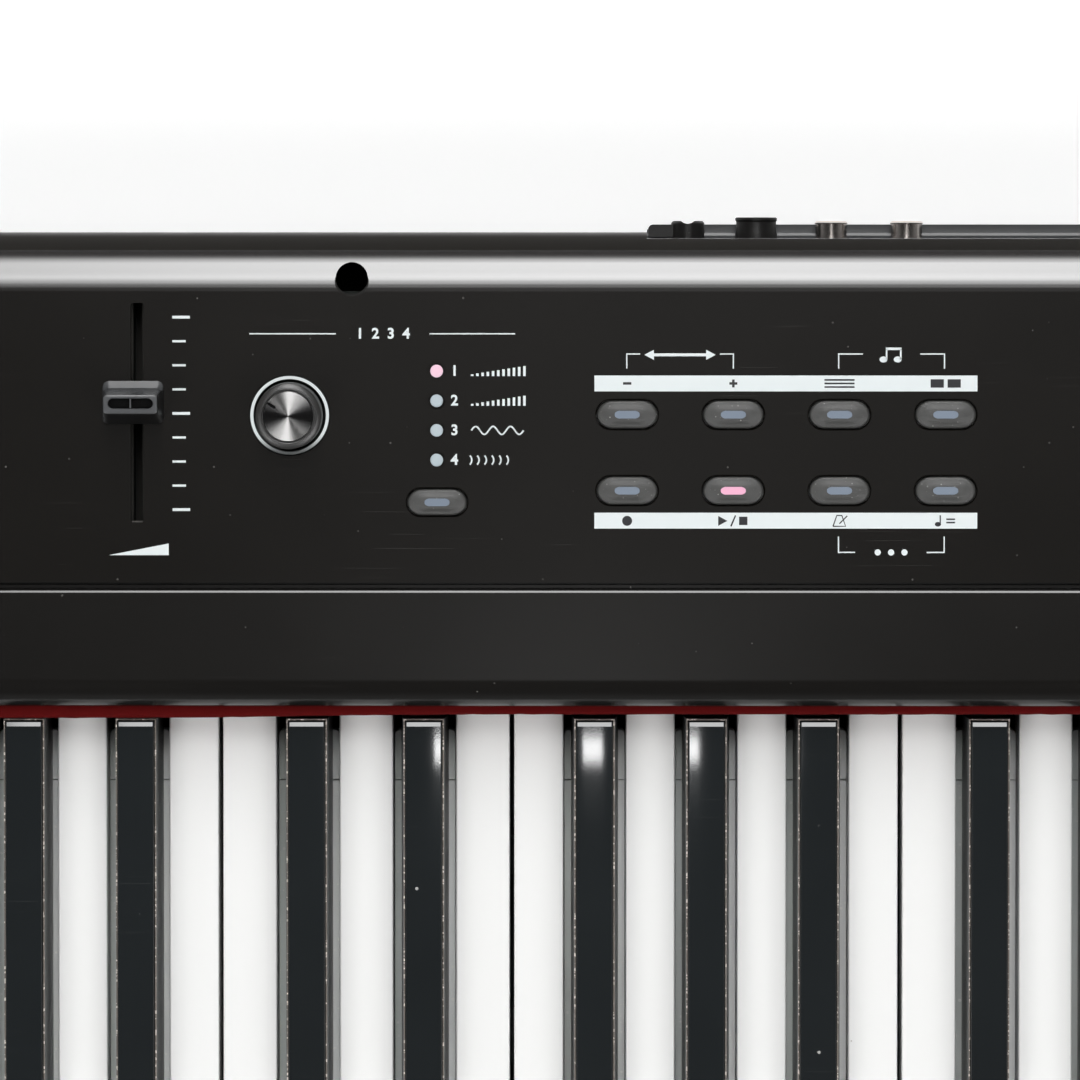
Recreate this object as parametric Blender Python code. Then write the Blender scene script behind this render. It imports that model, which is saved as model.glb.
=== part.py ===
"""Slab digital piano with 88 keys.

Metres, +Z up, +X to the player's right, -Y towards the player. The origin is the
centre of the footprint, on the surface that the feet stand on. Depths are measured
forwards from the rear edge of the top case, and heights from that surface.
"""

import math

import bmesh
import bpy
from mathutils import Matrix, Vector

MM = 0.001

# Fits
SEAT_GAP = 0.3 * MM  # between pieces that rest on each other
RUNNING_GAP = 0.25 * MM  # all round a piece that moves in a hole or is pushed into one
WALL = 2.5 * MM  # moulded covers
CASE_WALL = 3.0 * MM  # bottom tray and end walls

# Keyboard layout
FIRST_NOTE = 9  # semitones above C of the lowest key
KEY_COUNT = 88
WHITE_PITCH = 23.5 * MM
WHITE_GAP = 1.1 * MM
TAIL_WIDTH_C_TO_E = 13.0 * MM
TAIL_WIDTH_F_TO_B = 11.95 * MM
LONE_KEYS = range(12, 30)  # keys that swing one by one; the rest are moulded in combs

# Heights
FOOT_HEIGHT = 8.0 * MM
TRAY_HEIGHT = 38.0 * MM
WHITE_TOP = 91.0 * MM
WHITE_DEEP = 20.0 * MM  # height of a key's side
BLACK_RISE = 12.0 * MM
PANEL_RISE = 21.0 * MM  # of the panel over the white keys
FRONT_RAIL_DROP = 13.0 * MM  # of the front rail under the white keys

# Depths from the rear edge
PANEL_DEPTH = 83.7 * MM
SEAM_WIDTH = 1.8 * MM
STRIP_DEPTH = 27.8 * MM
WHITE_LENGTH = 148.0 * MM  # in front of the key cover strip
BLACK_REAR = 117.4 * MM
BLACK_LENGTH = 93.9 * MM
FRONT_RAIL_THICK = 15.0 * MM
FRONT_RAIL_GAP = 1.0 * MM
JACK_REACH = 3.75 * MM  # of the longest jack behind the rear edge

# Key action
PIVOT_DEPTH = 55.0 * MM
PIVOT_DROP = 13.0 * MM  # of the pivot under the white keys
PIVOT_RADIUS = 2.0 * MM
PIVOT_SLOT_GAP = 0.3 * MM
WHITE_REAR = 40.0 * MM
BLACK_TAIL_REAR = 48.0 * MM
BLACK_SKIRT_REAR = 120.8 * MM
BLACK_BASE_WIDTH = 9.8 * MM
BLACK_TOP_WIDTH = 8.7 * MM
BLACK_SKIRT_WIDTH = 13.0 * MM
BLACK_SKIRT_DROP = 9.0 * MM  # of the skirt's shoulder under the white keys
BLACK_CORE_DROP = 3.0 * MM  # of the tail's top under the white keys
BLACK_BACK_BEVEL = 1.1 * MM
BLACK_FRONT_SLOPE = 5.5 * MM
BLACK_EDGE = 0.4 * MM
WHITE_EDGE = 0.5 * MM
NOTCH_GAP = 1.2 * MM  # in front of a black key
COMB_BAR = 4.0 * MM
BLACK_BAR_DROP = 3.0 * MM  # of the black comb's bar under the white keys' undersides
BLACK_BAR_DEPTH = (60.0 * MM, 70.0 * MM)
GUIDE_WIDTH = 3.2 * MM
GUIDE_LENGTH = 10.0 * MM
GUIDE_SIDE_GAP = 0.4 * MM
GUIDE_END_GAP = 2.0 * MM
GUIDE_REACH = 5.5 * MM  # into a key at rest
POCKET_DEEP = 17.0 * MM
WHITE_GUIDE_DEPTH = 243.0 * MM
BLACK_GUIDE_DEPTH = 198.0 * MM

# Key chassis
DECK_DROP = 38.0 * MM  # of the deck under the keys' undersides
DECK_THICK = 3.0 * MM
RAIL_DROP = 13.0 * MM  # of the guide rails under the keys' undersides
RAIL_WIDTH = 14.0 * MM
CONTACT_DEPTH = 155.0 * MM
CONTACT_HEIGHT = 6.9 * MM
CONTACT_WIDTH = 12.0 * MM
PIVOT_WALL = 3.0 * MM
MID_WALL_DEPTH = 203.5 * MM

# Ends
CHEEK_WIDTH = 45.0 * MM
CHEEK_GAP = 0.75 * MM
CHEEK_FRONT_DROP = 14.0 * MM
CHEEK_ROUND = 10.0 * MM
CHEEK_EDGE = 2.0 * MM

# Covers
SHOULDER_RADIUS = 14.0 * MM
SHOULDER_STEPS = 8
STRIP_ROUND = 6.3 * MM
STRIP_NOSE = 7.5 * MM  # height of the strip's front lip
STRIP_STEP = 1.2 * MM  # of the felt's backing behind the lip
FELT_THICK = 3.8 * MM
FELT_HEIGHT = 10.9 * MM
SEAM_LIP = 5.7 * MM
SEAM_FLANGE = 7.0 * MM
SEAM_BEAD = 0.8 * MM
TRAY_EDGE = 4.0 * MM

# Controls: centres as (distance left of the middle, depth)
FADER = (418.5 * MM, 43.0 * MM)
FADER_SLOT = (2.8 * MM, 52.6 * MM)
FADER_REST = 2.45 * MM  # of the cap behind the middle of its travel
FADER_CAP = (14.8 * MM, 10.4 * MM, 13.0 * MM)
FADER_TOP = (13.4 * MM, 4.8 * MM)
FADER_DIMPLE = (10.7 * MM, 2.5 * MM, 1.1 * MM)
FADER_LIFT = 0.8 * MM
FADER_SHIFT = 0.95 * MM  # of the cap to the left of its stem
FADER_EDGE = 0.4 * MM
FADER_STEM = (1.6 * MM, 4.0 * MM)
FADER_TRACK = (9.0 * MM, 60.0 * MM)
KNOB = (382.0 * MM, 43.6 * MM)
KNOB_RADIUS = 8.0 * MM
KNOB_HEIGHT = 11.0 * MM
KNOB_LIFT = 0.6 * MM
KNOB_DRAFT = 0.25 * MM
KNOB_LIP_RADIUS = 6.75 * MM
DISC_RADIUS = 6.0 * MM
DISC_THICK = 0.9 * MM
DISC_MARK = (3.5 * MM, 5.9 * MM, 1.0 * MM)  # inner radius, outer radius, width
DISC_MARK_ANGLE = 140
SHAFT_RADIUS = 3.0 * MM
RING_RADIUS = 9.45 * MM
RING_THICK = 0.9 * MM
RING_PROUD = 0.3 * MM
POT_WIDTH = 10.6 * MM
LAMP_LEFT = 346.8 * MM
LAMP_DEPTH = 33.0 * MM
LAMP_PITCH = 7.1 * MM
LAMP_COUNT = 4
LAMP_RADIUS = 1.55 * MM
LAMP_PROUD = 0.2 * MM
SELECT_BUTTON = (346.7 * MM, 64.4 * MM)
SELECT_SIZE = (14.1 * MM, 6.2 * MM)
BUTTON_FIRST = (301.2 * MM, 43.4 * MM)
BUTTON_PITCH = 25.4 * MM
BUTTON_ROW = 18.2 * MM
BUTTON_COLUMNS = 4
BUTTON_SIZE = (14.35 * MM, 6.6 * MM)
BUTTON_PROUD = 1.2 * MM
BUTTON_FLANGE = 1.0 * MM
BUTTON_STEM = 3.0 * MM
BUTTON_TRAVEL = 0.9 * MM
BUTTON_WINDOW = (6.3 * MM, 2.1 * MM, 0.4 * MM)
SWITCH = (6.0 * MM, 2.1 * MM)
BOARD_THICK = 1.6 * MM
BOARD_DROP = 16.1 * MM  # of its top under the panel's top
BOARD_EDGE = 12.0 * MM  # past the outermost controls
BOARD_DEPTH = (14.0 * MM, 76.0 * MM)
REST_HOLE = (367.1 * MM, 10.8 * MM)
REST_HOLE_RADIUS = 4.0 * MM

# Jacks
JACK_BAY = (296.4 * MM, 150.0 * MM)
JACK_BAY_STEP = 1.35 * MM
JACK_BAY_TOP = 84.0 * MM
JACK_SHELF_REACH = 2.0 * MM
JACK_SHELF_THICK = 3.4 * MM
JACK_HEIGHT = 57.0 * MM
JACK_BODY = (12.0 * MM, 12.0 * MM, 11.0 * MM)
POWER_LEFT = 286.1 * MM
POWER_RADIUS = 4.1 * MM
POWER_REACH = 2.9 * MM
POWER_BORE = 2.8 * MM
PEDAL_LEFT = 269.3 * MM
PEDAL_RADIUS = 5.15 * MM
PEDAL_BORE = 3.3 * MM
PEDAL_BORE_DEEP = 20.0 * MM
LINE_LEFT = (250.9 * MM, 232.4 * MM)
LINE_RADIUS = 4.15 * MM
LINE_BORE = 1.6 * MM

# Feet and speakers
FOOT_RADIUS = 13.0 * MM
FOOT_PEG = 3.8 * MM
FOOT_PLACES = (560.0 * MM, 40.0 * MM, 240.0 * MM)
SPEAKER_LEFT = 480.0 * MM
SPEAKER_DEPTH = 130.0 * MM
SPEAKER_RADIUS = 42.0 * MM
SPEAKER_HEIGHT = 17.5 * MM
VENT = (62.0 * MM, 3.0 * MM)
VENT_PITCH = 9.0 * MM
VENT_COUNT = 7

# Worked out from the sizes above
WHITE_COUNT = 52
KEYBOARD_WIDTH = WHITE_COUNT * WHITE_PITCH
INNER_HALF = KEYBOARD_WIDTH / 2 + CHEEK_GAP
OUTER_HALF = INNER_HALF + CHEEK_WIDTH
STRIP_REAR = PANEL_DEPTH + SEAM_WIDTH
STRIP_FRONT = STRIP_REAR + STRIP_DEPTH
WHITE_FRONT = STRIP_FRONT + WHITE_LENGTH
BLACK_FRONT = BLACK_REAR + BLACK_LENGTH
RAIL_REAR = WHITE_FRONT + FRONT_RAIL_GAP
CASE_FRONT = RAIL_REAR + FRONT_RAIL_THICK
REAR_Y = (CASE_FRONT + JACK_REACH) / 2 - JACK_REACH
PANEL_TOP = WHITE_TOP + PANEL_RISE
PANEL_UNDER = PANEL_TOP - WALL
BLACK_TOP = WHITE_TOP + BLACK_RISE
KEY_UNDER = WHITE_TOP - WHITE_DEEP
PIVOT_Z = WHITE_TOP - PIVOT_DROP
TRAY_TOP = FOOT_HEIGHT + TRAY_HEIGHT
TRAY_FLOOR = FOOT_HEIGHT + CASE_WALL
SEAT = TRAY_TOP + SEAT_GAP
BOARD_TOP = PANEL_TOP - BOARD_DROP
ON_BOARD = BOARD_TOP + SEAT_GAP
LIP_BOTTOM = PANEL_TOP - SEAM_LIP


def y_at(depth):
    return REAR_Y - depth


def clear_scene():
    for obj in list(bpy.data.objects):
        bpy.data.objects.remove(obj, do_unlink=True)


def material(name, colour, roughness, metallic=0.0):
    made = bpy.data.materials.new(name)
    made.use_nodes = True
    shader = made.node_tree.nodes["Principled BSDF"]
    shader.inputs["Base Color"].default_value = (*colour, 1.0)
    shader.inputs["Roughness"].default_value = roughness
    shader.inputs["Metallic"].default_value = metallic
    return made


def make_object(name, bm, finish=None, origin=None):
    """Turns a bmesh into an object, with its origin at a world point if one is given."""
    bmesh.ops.recalc_face_normals(bm, faces=bm.faces)
    mesh = bpy.data.meshes.new(name)
    bm.to_mesh(mesh)
    bm.free()
    obj = bpy.data.objects.new(name, mesh)
    bpy.context.scene.collection.objects.link(obj)
    if origin is not None:
        mesh.transform(Matrix.Translation(-Vector(origin)))
        obj.location = origin
    if finish is None:
        obj.hide_render = True
        obj.display_type = "WIRE"
    else:
        mesh.materials.append(finish)
    return obj


def boolean(obj, operation, *others):
    """Cuts helpers from an object or joins them to it, in order."""
    for other in others:
        step = obj.modifiers.new(f"{operation} {other.name}", "BOOLEAN")
        step.operation = operation
        step.object = other
        step.solver = "EXACT"


def extrude(bm, points, offset):
    """Adds the solid swept by a flat outline; returns its far outline's edges."""
    face = bm.faces.new([bm.verts.new(p) for p in points])
    swept = bmesh.ops.extrude_face_region(bm, geom=[face])["geom"]
    far = [v for v in swept if isinstance(v, bmesh.types.BMVert)]
    bmesh.ops.translate(bm, verts=far, vec=offset)
    return [e for e in swept if isinstance(e, bmesh.types.BMEdge)]


def add_side_prism(bm, profile, left, right):
    """Profile points are (depth, height), swept along X."""
    points = [(left, y_at(depth), z) for depth, z in profile]
    return extrude(bm, points, (right - left, 0, 0))


def add_plan_prism(bm, outline, low, high):
    """Outline points are (x, depth), swept up Z."""
    points = [(x, y_at(depth), low) for x, depth in outline]
    return extrude(bm, points, (0, 0, high - low))


def rectangle(left, right, rear, front):
    return [(left, rear), (left, front), (right, front), (right, rear)]


def add_box(bm, left, right, rear, front, low, high):
    return add_plan_prism(bm, rectangle(left, right, rear, front), low, high)


def bevel(bm, edges, width, segments=1):
    bmesh.ops.bevel(
        bm,
        geom=edges,
        offset=width,
        offset_type="OFFSET",
        segments=segments,
        profile=0.5,
        affect="EDGES",
        clamp_overlap=True,
    )


def side_prism(name, profile, left, right, finish=None):
    bm = bmesh.new()
    add_side_prism(bm, profile, left, right)
    return make_object(name, bm, finish)


def plan_prism(name, outline, low, high, finish=None):
    bm = bmesh.new()
    add_plan_prism(bm, outline, low, high)
    return make_object(name, bm, finish)


def arc(centre, radius, start, end, steps):
    """Points of an arc, angles in degrees, in whichever plane the centre is given."""
    angles = [math.radians(start + (end - start) * i / steps) for i in range(steps + 1)]
    return [(centre[0] + radius * math.cos(a), centre[1] + radius * math.sin(a)) for a in angles]


def stadium(x, depth, length, width, steps=5):
    """Plan outline of a bar with round ends; its long way is along X."""
    run = (length - width) / 2
    right = arc((x + run, depth), width / 2, -90, 90, steps)
    left = arc((x - run, depth), width / 2, 90, 270, steps)
    return right + left


def turned(bm, profile, segments):
    """Spins (radius, height) points round Z; the first and last lie on the axis."""
    verts = [bm.verts.new((r, 0, z)) for r, z in profile]
    edges = [bm.edges.new(pair) for pair in zip(verts, verts[1:])]
    bmesh.ops.spin(
        bm,
        geom=verts + edges,
        cent=(0, 0, 0),
        axis=(0, 0, 1),
        angle=2 * math.pi,
        steps=segments,
        use_merge=True,
    )
    bmesh.ops.remove_doubles(bm, verts=bm.verts, dist=1e-6)


def placed_turned(profile, segments, x, depth, base, along="Z"):
    """A turned solid with its axis up, or pointing to the rear when along is Y."""
    bm = bmesh.new()
    turned(bm, profile, segments)
    if along == "Y":
        bmesh.ops.rotate(bm, verts=bm.verts, matrix=Matrix.Rotation(-math.pi / 2, 3, "X"))
    bmesh.ops.translate(bm, verts=bm.verts, vec=(x, y_at(depth), base))
    return bm


def rod_profile(radius, length, chamfer=0.0):
    """Solid rod from height 0 up, chamfered at its far end."""
    profile = [(0, 0), (radius, 0), (radius, length - chamfer)]
    if chamfer:
        profile.append((radius - chamfer, length))
    return profile + [(0, length)]


# Keyboard layout


def is_black(note):
    return (note + FIRST_NOTE) % 12 in (1, 3, 6, 8, 10)


def note_name(note):
    letters = ("c", "c", "d", "d", "e", "f", "f", "g", "g", "a", "a", "b")
    step = note + FIRST_NOTE
    return f"{letters[step % 12]}{step // 12}" + ("_sharp" if is_black(note) else "")


def white_index(note):
    return sum(not is_black(n) for n in range(note))


def opening_width(first_half):
    """Width between two white tails, left for a black key, in the C-E or the F-B half."""
    whites, tail = (3, TAIL_WIDTH_C_TO_E) if first_half else (4, TAIL_WIDTH_F_TO_B)
    return (whites * (WHITE_PITCH - tail) - WHITE_GAP) / (whites - 1)


def half_octave(note):
    """(whether it is the C-E half, left edge of that half, places from its first white key)"""
    step = (note + FIRST_NOTE) % 12
    first_half = step < 5
    start = note - step + (0 if first_half else 5)
    whites_before = count_whites(start, note)
    left = (white_index(note) - whites_before) * WHITE_PITCH - KEYBOARD_WIDTH / 2
    return first_half, left, whites_before


def count_whites(start, end):
    return sum(not is_black(n) for n in range(start, end))


def tail_edges(note):
    """Left and right edges of a white key's tail, between its black neighbours."""
    first_half, left, place = half_octave(note)
    tail = TAIL_WIDTH_C_TO_E if first_half else TAIL_WIDTH_F_TO_B
    start = left + WHITE_GAP / 2 + place * (tail + opening_width(first_half))
    return start, start + tail


def head_edges(note):
    left = white_index(note) * WHITE_PITCH - KEYBOARD_WIDTH / 2
    return left + WHITE_GAP / 2, left + WHITE_PITCH - WHITE_GAP / 2


def black_centre(note):
    """Middle of the opening between the tails on either side."""
    return (tail_edges(note - 1)[1] + tail_edges(note + 1)[0]) / 2


def key_centre(note):
    if is_black(note):
        return black_centre(note)
    head = head_edges(note)
    tail = tail_edges(note)
    return (max(head[0], tail[0]) + min(head[1], tail[1])) / 2


def white_outline(note):
    """Plan of a white key: full width at the front, notched beside each black key."""
    head_left, head_right = head_edges(note)
    tail_left, tail_right = tail_edges(note)
    has_left = note > 0 and is_black(note - 1)
    has_right = note < KEY_COUNT - 1 and is_black(note + 1)
    notch = BLACK_FRONT + NOTCH_GAP
    if note in LONE_KEYS:
        corner = 2 * WHITE_EDGE
        points = [
            (head_left, WHITE_FRONT - corner),
            (head_left + corner, WHITE_FRONT),
            (head_right - corner, WHITE_FRONT),
            (head_right, WHITE_FRONT - corner),
        ]
    else:
        points = [(head_left, WHITE_FRONT), (head_right, WHITE_FRONT)]
    if has_right:
        points += [(head_right, notch), (tail_right, notch), (tail_right, WHITE_REAR)]
    else:
        points.append((head_right, WHITE_REAR))
    if has_left:
        points += [(tail_left, WHITE_REAR), (tail_left, notch), (head_left, notch)]
    else:
        points.append((head_left, WHITE_REAR))
    return points


# Keys


def add_white_keys(notes):
    """One key with eased top edges, or the keys of a comb, which have fewer faces."""
    bm = bmesh.new()
    tops = []
    for note in notes:
        tops += add_plan_prism(bm, white_outline(note), KEY_UNDER, WHITE_TOP)
    if len(notes) == 1:
        bevel(bm, tops, WHITE_EDGE)
    return bm


def add_black_cores(notes):
    """The narrow body of each black key, from its tail to its front."""
    bm = bmesh.new()
    for note in notes:
        x = black_centre(note)
        half = BLACK_BASE_WIDTH / 2 - BLACK_EDGE
        high = WHITE_TOP - BLACK_CORE_DROP
        add_box(bm, x - half, x + half, BLACK_TAIL_REAR, BLACK_FRONT - BLACK_EDGE, KEY_UNDER, high)
    return bm


def add_black_skirts(notes):
    """The wide shoulder low on each side of a black key."""
    bm = bmesh.new()
    tops = []
    for note in notes:
        x = black_centre(note)
        half = BLACK_SKIRT_WIDTH / 2
        low = KEY_UNDER + BLACK_EDGE
        high = WHITE_TOP - BLACK_SKIRT_DROP
        tops += add_box(bm, x - half, x + half, BLACK_SKIRT_REAR, BLACK_FRONT - 2 * BLACK_EDGE, low, high)
    return bm


def add_black_caps(notes):
    """The raised cap: drafted sides, bevelled back and a sloping front."""
    bm = bmesh.new()
    low = WHITE_TOP - 2 * BLACK_CORE_DROP
    profile = [
        (BLACK_REAR, low),
        (BLACK_REAR, BLACK_TOP - BLACK_BACK_BEVEL),
        (BLACK_REAR + BLACK_BACK_BEVEL, BLACK_TOP),
        (BLACK_FRONT - BLACK_FRONT_SLOPE, BLACK_TOP),
        (BLACK_FRONT, WHITE_TOP),
        (BLACK_FRONT, low),
    ]
    if len(notes) == 1:
        profile.insert(4, (BLACK_FRONT - BLACK_FRONT_SLOPE / 2, BLACK_TOP - BLACK_RISE / 6))
    for note in notes:
        x = black_centre(note)
        half = BLACK_BASE_WIDTH / 2
        before = set(bm.verts)
        add_side_prism(bm, profile, x - half, x + half)
        for vert in set(bm.verts) - before:
            lean = max(0.0, vert.co.z - WHITE_TOP) / BLACK_RISE
            width = BLACK_BASE_WIDTH + (BLACK_TOP_WIDTH - BLACK_BASE_WIDTH) * lean
            vert.co.x = x + (vert.co.x - x) * width / BLACK_BASE_WIDTH
    if len(notes) == 1:
        top_edges = [
            e
            for e in bm.edges
            if all(abs(v.co.z - BLACK_TOP) < 1e-6 for v in e.verts)
            and abs(e.verts[0].co.x - e.verts[1].co.x) < 1e-6
        ]
        bevel(bm, top_edges, BLACK_EDGE)
    return bm


def pivot_slot_cutter():
    """A slot that is open below, with a round top that seats on the pivot rod."""
    radius = PIVOT_RADIUS + PIVOT_SLOT_GAP
    top = arc((PIVOT_DEPTH, PIVOT_Z), radius / math.cos(math.pi / 8), 180, 0, 4)
    below = KEY_UNDER - POCKET_DEEP
    profile = [(PIVOT_DEPTH - radius, below)] + top + [(PIVOT_DEPTH + radius, below)]
    return side_prism("pivot_slot_cutter", profile, -OUTER_HALF, OUTER_HALF)


def guide_pocket_cutter(name, notes, depth):
    half = GUIDE_WIDTH / 2 + GUIDE_SIDE_GAP
    reach = GUIDE_LENGTH / 2 + GUIDE_END_GAP
    bm = bmesh.new()
    for note in notes:
        x = key_centre(note)
        low, high = KEY_UNDER - POCKET_DEEP, KEY_UNDER + POCKET_DEEP
        add_box(bm, x - half, x + half, depth - reach, depth + reach, low, high)
    return make_object(name, bm)


def combs():
    """Runs of notes that are moulded together, as {node name: notes}."""
    found = {}
    ranges = {"left": range(LONE_KEYS[0]), "right": range(LONE_KEYS[-1] + 1, KEY_COUNT)}
    for side, notes in ranges.items():
        found[f"white_keys_{side}"] = [n for n in notes if not is_black(n)]
        found[f"black_keys_{side}"] = [n for n in notes if is_black(n)]
    return found


def guided_notes():
    """Every single key has its guide post, and a comb has one under each end key."""
    ends = [note for notes in combs().values() for note in (notes[0], notes[-1])]
    return sorted(list(LONE_KEYS) + ends)


def make_keys(finishes):
    """Single keys where the hands of the middle-left octaves play, and moulded combs elsewhere."""
    slot = pivot_slot_cutter()
    whites = [n for n in guided_notes() if not is_black(n)]
    blacks = [n for n in guided_notes() if is_black(n)]
    white_pockets = guide_pocket_cutter("white_pocket_cutter", whites, WHITE_GUIDE_DEPTH)
    black_pockets = guide_pocket_cutter("black_pocket_cutter", blacks, BLACK_GUIDE_DEPTH)

    def white(name, group, centre):
        origin = (centre, y_at(PIVOT_DEPTH), PIVOT_Z)
        obj = make_object(name, add_white_keys(group), finishes["ivory"], origin)
        if len(group) > 1:
            left, right = outer_edges(group)
            bar = bmesh.new()
            inset = WHITE_EDGE
            add_box(bar, left + inset, right - inset, WHITE_REAR - COMB_BAR, WHITE_REAR + inset,
                    KEY_UNDER + inset, WHITE_TOP - 2 * inset)
            boolean(obj, "UNION", make_object(name + "_bar", bar))
        boolean(obj, "DIFFERENCE", slot, white_pockets)

    def black(name, group, centre):
        origin = (centre, y_at(PIVOT_DEPTH), PIVOT_Z)
        obj = make_object(name, add_black_cores(group), finishes["ebony"], origin)
        if len(group) == 1:
            boolean(obj, "UNION", make_object(name + "_skirt", add_black_skirts(group)))
        boolean(obj, "UNION", make_object(name + "_cap", add_black_caps(group)))
        if len(group) > 1:
            half = BLACK_BASE_WIDTH / 2 - 2 * BLACK_EDGE
            left, right = black_centre(group[0]) - half, black_centre(group[-1]) + half
            rear, front = BLACK_BAR_DEPTH
            bar_top = KEY_UNDER - BLACK_BAR_DROP
            bar = bmesh.new()
            add_box(bar, left, right, rear, front, bar_top - COMB_BAR, bar_top)
            legs = bmesh.new()
            for note in group:
                x = black_centre(note)
                add_box(legs, x - half, x + half, rear + BLACK_EDGE, front - BLACK_EDGE,
                        bar_top - COMB_BAR / 2, KEY_UNDER + COMB_BAR / 2)
            boolean(obj, "UNION", make_object(name + "_legs", legs))
            boolean(obj, "UNION", make_object(name + "_bar", bar))
        boolean(obj, "DIFFERENCE", slot, black_pockets)

    for note in LONE_KEYS:
        build = black if is_black(note) else white
        build("key_" + note_name(note), [note], key_centre(note))
    for name, group in combs().items():
        build = black if is_black(group[0]) else white
        build(name, group, (key_centre(group[0]) + key_centre(group[-1])) / 2)


def outer_edges(group):
    """Edges of the outermost tails of a run of white keys."""
    first, last = group[0], group[-1]
    left = tail_edges(first)[0] if first > 0 and is_black(first - 1) else head_edges(first)[0]
    has_right = last < KEY_COUNT - 1 and is_black(last + 1)
    right = tail_edges(last)[1] if has_right else head_edges(last)[1]
    return left, right


# Key chassis


def make_chassis(finishes):
    floor = TRAY_FLOOR + SEAT_GAP
    deck = KEY_UNDER - DECK_DROP
    under = deck - DECK_THICK
    rail = KEY_UNDER - RAIL_DROP
    half = RAIL_WIDTH / 2
    front = WHITE_GUIDE_DEPTH + half
    wall_top = PIVOT_Z - PIVOT_RADIUS - SEAT_GAP
    pivot_front = PIVOT_DEPTH + PIVOT_WALL / 2
    pivot_rear = PIVOT_DEPTH - PIVOT_WALL / 2
    profile = [(front, floor), (front, rail), (WHITE_GUIDE_DEPTH - half, rail), (WHITE_GUIDE_DEPTH - half, deck)]
    for depth in (BLACK_GUIDE_DEPTH, CONTACT_DEPTH):
        profile += [(depth + half, deck), (depth + half, rail), (depth - half, rail), (depth - half, deck)]
    profile += [
        (pivot_front, deck),
        (pivot_front, wall_top),
        (pivot_rear, wall_top),
        (pivot_rear, floor),
        (pivot_front, floor),
        (pivot_front, under),
        (MID_WALL_DEPTH, under),
        (MID_WALL_DEPTH, floor),
        (MID_WALL_DEPTH + DECK_THICK, floor),
        (MID_WALL_DEPTH + DECK_THICK, under),
        (front - DECK_THICK, under),
        (front - DECK_THICK, floor),
    ]
    edge = INNER_HALF - 2 * SEAT_GAP
    chassis = side_prism("key_chassis", profile, -edge, edge, finishes["chassis"])
    posts = bmesh.new()
    for note in guided_notes():
        x = key_centre(note)
        depth = BLACK_GUIDE_DEPTH if is_black(note) else WHITE_GUIDE_DEPTH
        add_box(posts, x - GUIDE_WIDTH / 2, x + GUIDE_WIDTH / 2, depth - GUIDE_LENGTH / 2,
                depth + GUIDE_LENGTH / 2, rail - DECK_THICK, KEY_UNDER + GUIDE_REACH)
    boolean(chassis, "UNION", make_object("guide_posts", posts))

    rod = bmesh.new()
    circle = arc((PIVOT_DEPTH, PIVOT_Z), PIVOT_RADIUS, 0, 330, 11)
    add_side_prism(rod, circle, -edge, edge)
    make_object("pivot_rod", rod, finishes["steel"])

    base = rail + SEAT_GAP
    reach = CONTACT_WIDTH / 2
    dome = CONTACT_HEIGHT / 3
    contact = [
        (CONTACT_DEPTH - reach, base),
        (CONTACT_DEPTH - reach, base + dome),
        (CONTACT_DEPTH - dome, base + CONTACT_HEIGHT),
        (CONTACT_DEPTH + dome, base + CONTACT_HEIGHT),
        (CONTACT_DEPTH + reach, base + dome),
        (CONTACT_DEPTH + reach, base),
    ]
    side_prism("key_contact_strip", contact, -edge, edge, finishes["rubber"])


# Case


def make_tray(finishes):
    bm = bmesh.new()
    add_box(bm, -OUTER_HALF, OUTER_HALF, 0, CASE_FRONT, FOOT_HEIGHT, TRAY_TOP)
    low = [e for e in bm.edges if all(abs(v.co.z - FOOT_HEIGHT) < 1e-6 for v in e.verts)]
    bevel(bm, low, TRAY_EDGE, 2)
    tray = make_object("bottom_case", bm, finishes["black_plastic"])
    inner = bmesh.new()
    edge = OUTER_HALF - CASE_WALL
    add_box(inner, -edge, edge, CASE_WALL, CASE_FRONT - CASE_WALL, TRAY_FLOOR, TRAY_TOP + CASE_WALL)
    holes = bmesh.new()
    x, rear, front = FOOT_PLACES
    for side in (-1, 1):
        for depth in (rear, front):
            add_plan_prism(holes, arc((side * x, depth), FOOT_PEG + RUNNING_GAP, 0, 330, 11),
                           0, TRAY_FLOOR + CASE_WALL)
        for slot in range(VENT_COUNT):
            depth = SPEAKER_DEPTH + (slot - (VENT_COUNT - 1) / 2) * VENT_PITCH
            middle = side * SPEAKER_LEFT
            add_box(holes, middle - VENT[0] / 2, middle + VENT[0] / 2, depth - VENT[1] / 2,
                    depth + VENT[1] / 2, 0, TRAY_FLOOR + CASE_WALL)
    boolean(tray, "DIFFERENCE", make_object("tray_inside", inner), make_object("tray_holes", holes))


def make_feet(finishes):
    x, rear, front = FOOT_PLACES
    height = FOOT_HEIGHT - SEAT_GAP
    round_edge = height / 4
    profile = [
        (0, 0),
        (FOOT_RADIUS - round_edge, 0),
        (FOOT_RADIUS, round_edge),
        (FOOT_RADIUS, height),
        (FOOT_PEG, height),
        (FOOT_PEG, height + CASE_WALL),
        (0, height + CASE_WALL),
    ]
    for end, depth in (("rear", rear), ("front", front)):
        for side, place in (("left", -x), ("right", x)):
            bm = placed_turned(profile, 12, place, depth, 0)
            make_object(f"foot_{end}_{side}", bm, finishes["rubber"])


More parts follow.
